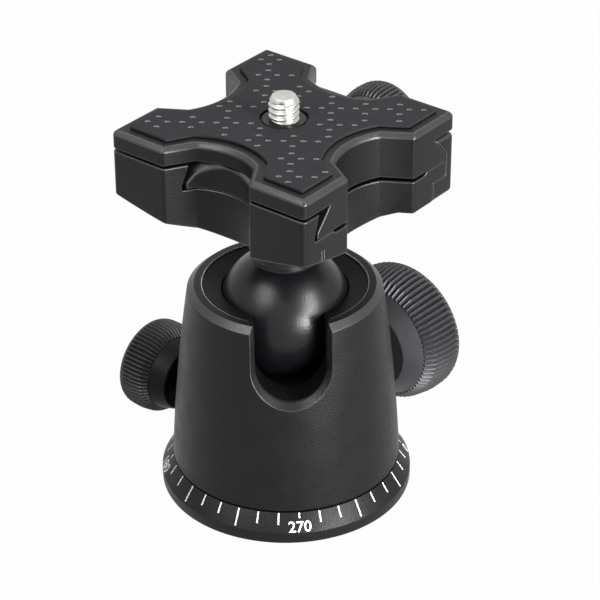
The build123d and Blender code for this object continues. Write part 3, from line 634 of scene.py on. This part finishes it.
def number_mesh(text, angle):
    """Number as thin solid letters, bent onto the cone with its foot at the lower edge."""
    curve = bpy.data.curves.new("number", "FONT")
    curve.body = text
    curve.align_x = "CENTER"
    curve.extrude = NUMBER_PROUD
    curve.offset = NUMBER_BOLD
    curve.resolution_u = 4
    holder = bpy.data.objects.new("number", curve)
    mesh = bpy.data.meshes.new_from_object(holder)
    bpy.data.objects.remove(holder)
    bpy.data.curves.remove(curve)
    flat = np.empty(len(mesh.vertices) * 3, np.float32)
    mesh.vertices.foreach_get("co", flat)
    flat = flat.reshape(-1, 3).astype(float)
    size = NUMBER_HEIGHT / flat[:, 1].max()
    across = flat[:, 0] * size * NUMBER_NARROW
    up = NUMBER_FOOT + flat[:, 1] * size
    points = on_cone(across, up, flat[:, 2], angle) * MM
    mesh.vertices.foreach_set("co", points.astype(np.float32).ravel())
    mesh.update()
    return mesh


def build_marks():
    """White scale of the dial: ticks every ten degrees and four numbers."""
    work = bmesh.new()
    meshes = [tick_mesh()]
    for step in range(MARKS // NUMBER_EVERY):
        value = (FRONT_NUMBER + 360 * step * NUMBER_EVERY // MARKS) % 360
        angle = MARK_TURN + 2 * math.pi * step * NUMBER_EVERY / MARKS
        meshes.append(number_mesh(str(value), angle))
    for mesh in meshes:
        work.from_mesh(mesh)
        bpy.data.meshes.remove(mesh)
    bmesh.ops.remove_doubles(work, verts=work.verts, dist=FINE_WELD * MM)
    bmesh.ops.recalc_face_normals(work, faces=work.faces)
    joined = bpy.data.meshes.new("dial_marks")
    work.to_mesh(joined)
    work.free()
    return finish("dial_marks", joined, "paint", "base")


# ---- Housing ----

def side_radius(height):
    """Radius of the housing's side at a height: the arc through its three points."""
    (cx, cy), radius = circle_through(*SIDE_ARC)
    return cx + np.sqrt(radius ** 2 - (np.asarray(height, float) - cy) ** 2)


def flare(depth):
    """How far the slot's wall stands back at a depth below the skin: the flare and its lip."""
    near = np.clip(1 - depth / SLOT_LIP, 0, 1)
    lip = SLOT_LIP * (1 - np.sqrt(1 - near ** 2)) * 0.6
    return SLOT_FLARE * np.clip(1 - depth / SLOT_FLARE_DEPTH, 0, 1) + lip


def crown_path():
    """Outline of the rim from the shoulder to the bore, cut fine enough to carry the flare."""
    shoulder = SIDE_ARC[2]
    low = (float(side_radius(shoulder[1] - 0.45)), shoulder[1] - 0.45)
    path = rounded_path([low, shoulder, RIM_OUT, (BORE_R, RIM_OUT[1]), (BORE_R, BORE_TOP - 0.1)],
                        [0, 0.5, 0.3, 0.22, 0], 6)
    pieces = [path[:1]]
    for start, end in zip(path[:-1], path[1:]):
        count = max(1, int(np.linalg.norm(end - start) / 0.2))
        pieces.append(start + (end - start) * np.linspace(0, 1, count + 1)[1:, None])
    return np.concatenate(pieces)


def slot_wall():
    """Wall of the slot: a grid of rows from the skin inwards and columns from the bottom up.

    Each row is half a U: a quarter circle about the slot's centre, then a straight side. It
    stands at the side's radius less its depth, and past the flare runs straight to the bore.
    Its top follows the rim.
    """
    crown = crown_path()
    depth = side_radius(crown[:, 1]) - crown[:, 0]
    foot = math.acos((SLOT_CENTRE - COLLAR_FOOT) / SLOT_HALF)
    quarter = np.append(np.linspace(0, foot, 22), np.linspace(foot, math.pi / 2, 4)[1:])
    share = np.linspace(0, 1, 12)[1:]
    back = SLOT_HALF + flare(depth)[:, None]
    z = np.concatenate([SLOT_CENTRE - back * np.cos(quarter),
                        SLOT_CENTRE + (crown[:, 1:] - SLOT_CENTRE) * share], 1)
    half = np.concatenate([back * np.sin(quarter), back * np.ones_like(share)], 1)
    beyond = np.clip((depth - SLOT_FLARE_DEPTH) / (depth[-1] - SLOT_FLARE_DEPTH), 0, 1)[:, None]
    near = side_radius(z) - np.minimum(depth, SLOT_FLARE_DEPTH)[:, None]
    r = near * (1 - beyond) + BORE_R * beyond
    # Towards the top each row leans to where the rim's outline has it
    miss = crown[:, :1] - r[:, -1:]
    r = r + miss * np.clip((z - SLOT_CENTRE) / (z[:, -1:] - SLOT_CENTRE), 0, 1)
    into = np.clip((BORE_R + SLOT_CORNER - r) / SLOT_CORNER, 0, 1)
    rise = np.clip((z - COLLAR_FOOT) / (SLOT_CENTRE - COLLAR_FOOT), 0, 1)
    half = half + SLOT_CORNER * (1 - np.sqrt(1 - into ** 2)) * rise
    return r, z, half


def build_housing():
    """Turned housing with the neck's slot.

    The wall's closed outline is carried round from one side of the slot to the other: a point
    (r, z) starts at the angle whose sine is the slot's half width over r. The slot's own wall
    closes the gap, and a shelf below the collar joins it to the narrower chamber.
    """
    r, z, half = slot_wall()
    last = np.column_stack([r[-1], z[-1], half[-1]])
    low = z[-1] <= COLLAR_FOOT + 1e-6
    foot_z = np.linspace(SIDE_ARC[0][1], z[0, 0], 26)[:-1]
    foot = rounded_path([(SPIGOT_HOLE_R, FOOT_Z), (SIDE_ARC[0][0], FOOT_Z), SIDE_ARC[0]],
                        [0, 0.35, 0], 4)[:-1]
    room_r, room_foot, room_top = KEEPER_ROOM
    inside = np.array([(CHAMBER_R, CHAMBER_BEND), (CHAMBER_R, FLOOR_TOP),
                       (PLUNGER_HOLE_R, FLOOR_TOP), (PLUNGER_HOLE_R, room_top),
                       (room_r, room_top), (room_r, room_foot), (SPIGOT_HOLE_R, room_foot)])
    rows = [
        np.pad(foot, ((0, 0), (0, 1))),
        np.column_stack([side_radius(foot_z), foot_z, 0 * foot_z]),
        np.column_stack([r[0], z[0], half[0]]),
        np.column_stack([r[1:, -1], z[1:, -1], half[1:, -1]]),
        last[-2::-1][~low[-2::-1]],
        last[low][-1:] * [1, 0, 1] + [0, COLLAR_FOOT, 0],
        last[low][::-1] * [0, 1, 1] + [CHAMBER_R, 0, 0],
        np.pad(inside, ((0, 0), (0, 1))),
    ]
    outline = np.concatenate(rows)
    start = np.arcsin(np.clip(outline[:, 2] / outline[:, 0], -1, 1))
    angle = start[:, None] + (2 * math.pi - 2 * start[:, None]) * np.linspace(0, 1, 241)
    skin = np.stack([outline[:, :1] * np.sin(angle), -outline[:, :1] * np.cos(angle),
                     outline[:, 1:2] + 0 * angle], -1)
    right = np.stack([half, -np.sqrt(r ** 2 - half ** 2), z], -1)
    wall = np.concatenate([right[:, :0:-1] * [-1, 1, 1], right], 1)
    ledge = wall[-1][wall[-1][:, 2] <= COLLAR_FOOT + 1e-6]
    inner = ledge.copy()
    inner[:, 1] = -np.sqrt(CHAMBER_R ** 2 - ledge[:, 0] ** 2)
    mesh = grids_mesh("housing", [(skin, True, False), (wall, False, False),
                                  (np.stack([ledge, inner]), False, False)])
    centre, normal = face_facts(mesh)
    reach = np.hypot(centre[:, 0], centre[:, 1])
    rim = (centre[:, 2] > SIDE_ARC[2][1]) & (reach > RIM_OUT[0] + 0.05)
    # Faces of the rim's inner round at the bore get a pale line: a painted highlight
    edge = (centre[:, 2] > BORE_TOP) & (reach < BORE_R + 0.25) & (reach > BORE_R - 0.05)
    # The flare faces the slot's middle, as no other face near the skin does
    spread = np.hypot(centre[:, 0], np.minimum(centre[:, 2] - SLOT_CENTRE, 0))
    mouth = (spread > SLOT_HALF) & (spread < SLOT_HALF + SLOT_FLARE + 0.1)
    mouth &= centre[:, 1] < -BORE_R
    away = (normal * [1, 1, 0] * centre).sum(1) / reach
    cut = rim | (mouth & (away < 0.75) & (centre[:, 2] < RIM_OUT[1] - 0.02))
    return finish("housing", mesh, "body", "housing", ["body_housing"], 28,
                  np.where(edge, 2, cut), ("cut_edge", "worn_edge"))


# ---- Ball and neck ----

def build_ball():
    """Ball: a sphere, turned from pole to pole."""
    angle = np.linspace(-math.pi / 2, math.pi / 2, 97)
    profile = np.column_stack([BALL_R * np.cos(angle), BALL_Z + BALL_R * np.sin(angle)])
    profile[[0, -1], 0] = 0
    mesh = grids_mesh("head_ball", [(lathe(profile, 160), False, True)])
    return finish("head_ball", mesh, "ball", "ball", ["ball"], 60)


def build_neck():
    """Neck: a turned stem that starts on the ball, with a small ledge at its foot."""
    seat = BALL_R + 0.1
    start = np.linspace(0, LEDGE_R, 12)
    cap = np.column_stack([start, BALL_Z + np.sqrt(seat ** 2 - start ** 2)])
    stem = rounded_path([(LEDGE_R, cap[-1, 1]), (LEDGE_R, LEDGE_TOP), (NECK_R, LEDGE_TOP),
                         (NECK_R, NECK_TOP), (NECK_PIN_R, NECK_TOP), (NECK_PIN_R, NECK_PIN_TOP),
                         (NECK_BORE_R, NECK_PIN_TOP), (NECK_BORE_R, NECK_BORE_FOOT),
                         (0, NECK_BORE_FOOT)],
                        [0, 0.08, 0.1, 0.1, 0.1, 0.3, 0.2, 0, 0], 4)
    mesh = grids_mesh("neck_stem", [(lathe(np.concatenate([cap[:-1], stem]), 120), False, True)])
    return finish("neck_stem", mesh, "ball", "neck", ["ball_neck"])


# ---- Knobs ----

def knob_outline(knob):
    """Rows (distance, radius) from the hub's middle to the dish, and their share of the ridges."""
    (_, hub_r), (hub_end, hub_end_r) = knob["hub"]
    grip = knob["grip"]
    end, end_r = grip[-1]
    dish_r = end_r * DISH_SHARE
    hub = rounded_path([(0, 0), (0, hub_r), (hub_end, hub_end_r)], [0, 0.5, 0], 5)
    step = np.array([(hub_end, hub_end_r - 0.15)])
    path = rounded_path([(hub_end, grip[0][1]), *grip[1:], (end, end_r - 0.7)],
                        [0, 1.8, 6.0, 2.5, 0.35, 0], 6)
    face = rounded_path([(end, end_r - 0.7), (end, dish_r), (end - DISH_DEPTH, dish_r - 0.4),
                         (end - DISH_DEPTH, 0)], [0, 0.2, 0.3, 0], 4)[1:]
    shares = np.interp(path[:, 0], [hub_end, hub_end + 0.4, end - 0.75, end - 0.1],
                       [1, 1.1, 1.1, 0])
    shares[-1] = 0
    plain = np.concatenate([hub, step])
    return (np.concatenate([plain, path, face]),
            np.concatenate([np.zeros(len(plain)), shares, np.zeros(len(face))]))


def ridge_height(phase):
    """Height of a ridge over one pitch: a raised cosine, a little fuller at the crest."""
    return (0.5 - 0.5 * np.cos(2 * math.pi * phase)) ** 0.8


def build_knob(name, knob, depth, body, replaced, turn=0, painted_shade_hub=False):
    """Knob: its outline carried round the screw's axis, with ridges taken off the radius.

    A row at radius q goes to q less its share of the ridge depth times one less the ridge's
    height, which repeats with the angle. A hub in painted shade gets the collar's darker, matt
    finish in place of the knob's own.
    """
    rows, shares = knob_outline(knob)
    count = knob["ridges"] * RIDGE_COLUMNS
    phase = (np.arange(count) / RIDGE_COLUMNS + 0.5) % 1
    angle = 2 * math.pi * np.arange(count) / count
    q = np.maximum(rows[:, 1:] - depth * shares[:, None] * (1 - ridge_height(phase)), 0)
    along = knob["start"] + rows[:, :1] + 0 * q
    grid = np.stack([q * np.cos(angle), q * np.sin(angle), along], -1)
    azimuth = math.radians(knob["azimuth"])
    away = np.array([math.cos(azimuth), math.sin(azimuth), 0.0])
    down = np.array([0.0, 0.0, -1.0])
    grid = grid @ np.stack([down, np.cross(away, down), away]) + [0, 0, knob["height"]]
    mesh = grids_mesh(name, [(turned(grid, turn), False, True)])
    hub = None
    # The hub's darker, matt finish is painted shade
    if painted_shade_hub:
        reach = (face_facts(mesh)[0] - [0, 0, knob["height"]]) @ away - knob["start"]
        hub = reach < knob["hub"][1][0] - 0.05
    return finish(name, mesh, "knob", body, [replaced], 40, hub, ("collar",))


# ---- Clamp ----

def build_scribed_lines():
    """Two short lines scribed on the fixed jaw's end face, as thin boxes."""
    side = np.array([-1, 1] * 4)
    deep = np.array([-0.05, -0.05, 0.015, 0.015] * 2)
    up = np.array([0] * 4 + [1] * 4)
    centre = np.array(SCRIBED_PLACES)[:, None]
    points = np.stack([PLATE_HALF + deep + 0 * centre, centre + SCRIBED_HALF * side,
                       SCRIBED_FOOT + SCRIBED_TALL * up + 0 * centre], -1)
    mesh = new_mesh("scribed_lines", turned(points.reshape(-1, 3), CLAMP_YAW), box_faces(2))
    weld_mesh(mesh, FINE_WELD)
    return finish("scribed_lines", mesh, "scribed", "clamp")


# ---- Plate ----

def inside_cross(x, y, inset):
    """Whether a point lies inside the cross by the inset: inside the square, outside each bite.

    A bite is the circle through its bottom and flanks, opened by a straight flank to the edge.
    """
    (edge, edge_half), (flank, flank_half), (bottom, _) = BITE
    (cx, _), radius = circle_through((flank, -flank_half), (bottom, 0), (flank, flank_half))
    x, y = np.abs(x), np.abs(y)
    inside = np.maximum(x, y) < edge - inset
    slope = (edge_half - flank_half) / (edge - flank)
    for a, b in ((x, y), (y, x)):
        outside_circle = np.hypot(a - cx, b) > radius + inset
        past_flank = b > flank_half + (a - flank) * slope + inset * math.hypot(1, slope)
        inside &= np.where(a > flank, past_flank, outside_circle)
    return inside


def mark_places():
    """Centres of the pad's small marks in the head's frame, two to a place of a slanted grid.

    At each grid point two marks stand one behind the other, and half a step on two stand side
    by side, so that the pattern looks woven.
    """
    right = np.array(WEAVE_RIGHT)
    up = np.array(WEAVE_UP)
    i, j = np.meshgrid(np.arange(-7, 8), np.arange(-7, 8), indexing="ij")
    grid = np.array(WEAVE_START) + i[..., None] * right + j[..., None] * up
    grid = grid.reshape(-1, 2)
    along = right / np.linalg.norm(right) * WEAVE_APART[0]
    behind = up / np.linalg.norm(up) * WEAVE_APART[1]
    woven = grid + (right + up) / 2
    places = np.concatenate([grid + behind, grid - behind, woven + along, woven - along])
    own = turned(np.pad(places, ((0, 0), (0, 1))), -CLAMP_YAW)
    keep = inside_cross(own[:, 0], own[:, 1], PAD_INSET + PAD_MARK_CLEAR[0])
    keep &= np.hypot(own[:, 0], own[:, 1]) > PAD_HOLE_R + PAD_MARK_CLEAR[1]
    return places[keep]


def build_pad_marks():
    """The pad's raised marks: low half ellipsoids, each a small grid with a closed foot."""
    places = mark_places()
    long_half = chosen().mark_length / MM / 2
    u = np.linspace(math.pi / 2, 0, 5)
    v = np.linspace(0, 2 * math.pi, 16, endpoint=False)
    shape = np.stack([long_half * np.cos(u)[:, None] * np.cos(v),
                      PAD_MARK_HALF * np.cos(u)[:, None] * np.sin(v),
                      PAD_MARK_TALL * np.sin(u)[:, None] - PAD_MARK_SINK + 0 * v], -1)
    foot = shape[-1:] * [0, 0, 1]
    shape = np.concatenate([shape, foot])
    shape = turned(shape, PAD_MARK_LEAN)
    centre = np.column_stack([places, np.full(len(places), PAD_TOP)])
    points = centre[:, None, None] + shape[None]
    starts = shape.shape[0] * shape.shape[1] * np.arange(len(places))[:, None, None]
    faces = grid_faces(*shape.shape[:2], False, True)[None] + starts
    mesh = new_mesh("pad_marks", points.reshape(-1, 3), faces.reshape(-1, 4))
    weld_mesh(mesh, FINE_WELD)
    # The marks' glossy rubber is lighter grey than the pad's: part real gloss, part painted glint
    return finish("pad_marks", mesh, "rubber_mark", "plate", (), 70)


def build_camera_screw():
    """Camera screw: a threaded stem with a head under the plate.

    The radius at height z and angle a is the crest's less a rounded wave of z over the pitch
    less a over a whole turn. The crests get lower towards the tip.
    """
    angle = np.linspace(0, 2 * math.pi, 64, endpoint=False)
    high = SCREW_TOP - SCREW_TIP_TALL
    z = np.linspace(THREAD_FOOT, high, 100)[:, None]
    wave = 0.5 + 0.5 * np.cos(2 * math.pi * z / SCREW_PITCH - angle)
    depth = (SCREW_R - SCREW_ROOT) * (1 - wave)
    taper = np.interp(z, [SCREW_TOP - 1.6, high], [0, 0.12])
    q = np.maximum(SCREW_R - depth - taper * wave, SCREW_ROOT - 0.1)
    thread = np.stack([q * np.sin(angle), -q * np.cos(angle), z + 0 * q], -1)
    tip = rounded_path([(SCREW_R - 0.4, high), (SCREW_TIP_R, SCREW_TOP), (0, SCREW_TOP)],
                       [0, 0.15, 0], 5)
    head_r, head_foot, head_top = SCREW_HEAD
    head = rounded_path([(0, head_foot), (head_r, head_foot), (head_r, head_top),
                         (SCREW_NECK_R, head_top), (SCREW_NECK_R, THREAD_FOOT - 0.05)],
                        [0, 0.4, 0.3, 0.1, 0], 4)
    grid = np.concatenate([lathe(head, 64), thread, lathe(tip[1:], 64)])
    mesh = grids_mesh("threaded_stem", [(grid, False, True)])
    return finish("threaded_stem", mesh, "stainless", "camera_screw",
                  ["camera_screw"], 38)


# ---- Stage ----

def seen_rays(tree):
    """Socket that is 1 for the rays that show the background: camera, glossy, transmitted."""
    path = add_node(tree, "ShaderNodeLightPath")
    seen = path.outputs["Is Camera Ray"]
    for kind in ("Is Glossy Ray", "Is Transmission Ray"):
        seen = add_node(tree, "ShaderNodeMath", {"operation": "MAXIMUM"}, None,
                        {0: seen, 1: path.outputs[kind]}).outputs[0]
    return seen


def emitting_floor():
    """Pale paper: nearly plain white to the rays that show the background, grey to the rest."""
    made = bpy.data.materials.new("pale_paper_floor")
    made.use_nodes = True
    tree = made.node_tree
    shader = tree.nodes["Principled BSDF"]
    shader.inputs["Base Color"].default_value = (*[FLOOR_GREY] * 3, 1)
    shader.inputs["Roughness"].default_value = 0.9
    shader.inputs["Specular IOR Level"].default_value = 0.1
    light = add_node(tree, "ShaderNodeEmission", None, {"Color": (1, 1, 1, 1)})
    part = add_node(tree, "ShaderNodeMath", {"operation": "MULTIPLY"}, {1: FLOOR_WHITE},
                    {0: seen_rays(tree)})
    mix = add_node(tree, "ShaderNodeMixShader", None, None,
                   {0: part.outputs[0], 1: shader.outputs[0], 2: light.outputs[0]})
    tree.links.new(mix.outputs[0], tree.nodes["Material Output"].inputs["Surface"])
    return made


def build_floor():
    """Flat pale floor under the base, large enough to fill the view."""
    x, y = np.meshgrid(*[np.linspace(-FLOOR_REACH, FLOOR_REACH, 3)] * 2)
    grid = np.stack([x, y, FLOOR_Z + 0 * x], -1)
    mesh = new_mesh("floor", grid.reshape(-1, 3), grid_faces(3, 3, False, False))
    mesh.materials.append(emitting_floor())
    new_object("floor", mesh)


def set_world():
    """Room whose light is stronger behind the head, and white to the rays that show it."""
    world = bpy.data.worlds.new("studio")
    bpy.context.scene.world = world
    world.use_nodes = True
    tree = world.node_tree
    soft = tree.nodes["Background"]
    soft.inputs["Color"].default_value = (1, 1, 1, 1)
    place = add_node(tree, "ShaderNodeTexCoord").outputs["Generated"]
    depth = add_node(tree, "ShaderNodeSeparateXYZ", None, None, {0: place}).outputs["Y"]
    level = chosen().room_light
    room = add_node(tree, "ShaderNodeMapRange", {"interpolation_type": "SMOOTHSTEP"},
                    {"From Min": ROOM_FADE[0], "From Max": ROOM_FADE[1],
                     "To Min": ROOM_DIM * level, "To Max": level}, {"Value": depth})
    tree.links.new(room.outputs["Result"], soft.inputs["Strength"])
    white = add_node(tree, "ShaderNodeBackground", None, {"Color": (1, 1, 1, 1)})
    mix = add_node(tree, "ShaderNodeMixShader", None, None,
                   {0: seen_rays(tree), 1: soft.outputs[0], 2: white.outputs[0]})
    tree.links.new(mix.outputs[0], tree.nodes["World Output"].inputs["Surface"])


def add_softbox(name, low, high, distance, width, radiance):
    """Rectangular lamp facing the ball; its long side runs between the points at the distance
    along the two directions."""
    middle = Vector((0, 0, BALL_Z * MM))
    ends = []
    for azimuth, elevation in (low, high):
        a, e = math.radians(azimuth), math.radians(elevation)
        ends.append(Vector((math.cos(e) * math.cos(a), math.cos(e) * math.sin(a), math.sin(e))))
    along = (ends[1] - ends[0]) * distance
    away = (ends[0] + ends[1]).normalized()
    tall = along.normalized()
    side = tall.cross(away).normalized()
    lamp = bpy.data.lights.new(name, "AREA")
    lamp.shape = "RECTANGLE"
    lamp.size = width
    lamp.size_y = along.length
    lamp.energy = radiance * math.pi * width * along.length
    holder = new_object(name, lamp)
    turn = Matrix((side, tall, side.cross(tall))).transposed().to_4x4()
    place = middle + (ends[0] + ends[1]) * distance / 2
    holder.matrix_world = Matrix.Translation(place) @ turn


def set_lights():
    """Softboxes: a large one at the left, a tall and a low one at the right, one high behind."""
    for name, low, high, distance, width, radiance in SOFTBOXES:
        add_softbox(name, low, high, distance, width, radiance * chosen().lamp_level)


def set_camera():
    """Camera that looks down on the head from the front, a little to the left."""
    side = np.array(SIGHT) / np.linalg.norm(SIGHT)
    ahead = Vector((side[0] * math.cos(PITCH), side[1] * math.cos(PITCH), math.sin(PITCH)))
    right = ahead.cross(Vector((0, 0, 1))).normalized()
    up = right.cross(ahead)
    tilted_right = right * math.cos(ROLL) + up * math.sin(ROLL)
    tilted_up = up * math.cos(ROLL) - right * math.sin(ROLL)
    camera = bpy.data.cameras.new("view")
    camera.lens = LENS
    camera.clip_end = 10
    holder = new_object("view", camera)
    turn = Matrix((tilted_right, tilted_up, -ahead)).transposed().to_4x4()
    holder.matrix_world = Matrix.Translation(Vector(EYE) * MM) @ turn
    bpy.context.scene.camera = holder
    bpy.context.scene.view_settings.view_transform = "Standard"


# ---- Settings, operators and panel ----

class BallHeadSettings(bpy.types.PropertyGroup):
    body_colour: FloatVectorProperty(
        name="Body colour", description="Colour of the anodised body, base, clamp and plate",
        subtype="COLOR", size=3, min=0, max=1, default=to_linear("#070708"))
    knob_colour: FloatVectorProperty(
        name="Knob colour", description="Colour of the three knobs",
        subtype="COLOR", size=3, min=0, max=1, default=to_linear("#303032"))
    ridge_depth: FloatProperty(
        name="Ridge depth", description="Depth of the large knob's ridges",
        unit="LENGTH", min=0, max=0.001, default=0.00085)
    edge_round: FloatProperty(
        name="Edge round", description="Width of the broken edges on clamp and plate",
        unit="LENGTH", min=0, max=0.001, default=0.0003)
    mark_length: FloatProperty(
        name="Pad mark length", description="Length of a raised mark on the rubber pad",
        unit="LENGTH", min=0.0005, max=0.003, default=0.0014)
    lamp_level: FloatProperty(
        name="Lamp level", description="Brightness of the softboxes",
        subtype="FACTOR", min=0, max=4, default=1.0)
    room_light: FloatProperty(
        name="Room light", description="Strength of the room's light, which is most behind",
        subtype="FACTOR", min=0, max=2, default=0.08)


class BALLHEAD_OT_base(bpy.types.Operator):
    """Build the turned base and its white scale"""
    bl_idname = "ballhead.base"
    bl_label = "Base and scale"

    def execute(self, context):
        build_base()
        build_marks()
        return {"FINISHED"}


class BALLHEAD_OT_housing(bpy.types.Operator):
    """Build the slotted housing"""
    bl_idname = "ballhead.housing"
    bl_label = "Housing"

    def execute(self, context):
        build_housing()
        return {"FINISHED"}


class BALLHEAD_OT_ball(bpy.types.Operator):
    """Build the ball and its neck"""
    bl_idname = "ballhead.ball"
    bl_label = "Ball and neck"

    def execute(self, context):
        build_ball()
        build_neck()
        return {"FINISHED"}


class BALLHEAD_OT_knobs(bpy.types.Operator):
    """Build the three ridged knobs"""
    bl_idname = "ballhead.knobs"
    bl_label = "Knobs"

    def execute(self, context):
        depth = chosen().ridge_depth / MM
        small = depth * SMALL_RIDGES
        build_knob("ball_lock_knob", LOCK_KNOB, depth, "lock_screw", "lock_knob")
        # The pan knob's hub is darkened with the collar's finish: painted shade
        build_knob("pan_lock_knob", PAN_KNOB, small, "pan_screw", "pan_knob", painted_shade_hub=True)
        build_knob("jaw_knob", CLAMP_KNOB, small, "clamp_screw", "clamp_knob", CLAMP_YAW)
        return {"FINISHED"}


class BALLHEAD_OT_clamp(bpy.types.Operator):
    """Dress the clamp's base and jaw and scribe its lines"""
    bl_idname = "ballhead.clamp"
    bl_label = "Clamp"

    def execute(self, context):
        width = chosen().edge_round / MM
        eased_copy("clamp_base", "clamp_body", width)
        eased_copy("moving_jaw", "clamp_jaw", width)
        build_scribed_lines()
        return {"FINISHED"}


class BALLHEAD_OT_plate(bpy.types.Operator):
    """Dress the camera plate, its pad and its screw"""
    bl_idname = "ballhead.plate"
    bl_label = "Camera plate"

    def execute(self, context):
        eased_copy("camera_plate", "cross_plate", chosen().edge_round / MM)
        eased_copy("plate_pad", "rubber_pad", PAD_ROUND, "rubber", False)
        build_pad_marks()
        build_camera_screw()
        return {"FINISHED"}


class BALLHEAD_OT_small_parts(bpy.types.Operator):
    """Give the screws, bushes, washers and inner pieces their finishes"""
    bl_idname = "ballhead.small_parts"
    bl_label = "Small parts"

    def execute(self, context):
        for key, nodes in CARRIED.items():
            for slot in [slot for node in nodes for slot in frame["nodes"][node].material_slots]:
                slot.material = material(key)
        return {"FINISHED"}


class BALLHEAD_OT_stage(bpy.types.Operator):
    """Set up the floor, the lights and the camera"""
    bl_idname = "ballhead.stage"
    bl_label = "Stage"

    def execute(self, context):
        build_floor()
        set_world()
        set_lights()
        set_camera()
        return {"FINISHED"}


OPERATORS = (BALLHEAD_OT_base, BALLHEAD_OT_housing, BALLHEAD_OT_ball, BALLHEAD_OT_knobs,
             BALLHEAD_OT_clamp, BALLHEAD_OT_plate, BALLHEAD_OT_small_parts, BALLHEAD_OT_stage)


class BALLHEAD_PT_panel(bpy.types.Panel):
    """Panel with the sizes and the operators"""
    bl_idname = "BALLHEAD_PT_panel"
    bl_label = "Ball Head"
    bl_space_type = "VIEW_3D"
    bl_region_type = "UI"
    bl_category = "Ball Head"

    def draw(self, context):
        for name in BallHeadSettings.__annotations__:
            self.layout.prop(context.scene.ball_head, name)
        for operator in OPERATORS:
            self.layout.operator(operator.bl_idname)


CLASSES = (BallHeadSettings, *OPERATORS, BALLHEAD_PT_panel)


def register():
    """Register the settings, the operators and the panel."""
    for item in CLASSES:
        bpy.utils.register_class(item)
    bpy.types.Scene.ball_head = PointerProperty(type=BallHeadSettings)


def unregister():
    """Undo register."""
    del bpy.types.Scene.ball_head
    for item in reversed(CLASSES):
        bpy.utils.unregister_class(item)


def main():
    """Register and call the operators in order."""
    register()
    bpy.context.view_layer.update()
    for operator in OPERATORS:
        group, name = operator.bl_idname.split(".")
        getattr(getattr(bpy.ops, group), name)()


if __name__ == "__main__":
    main()
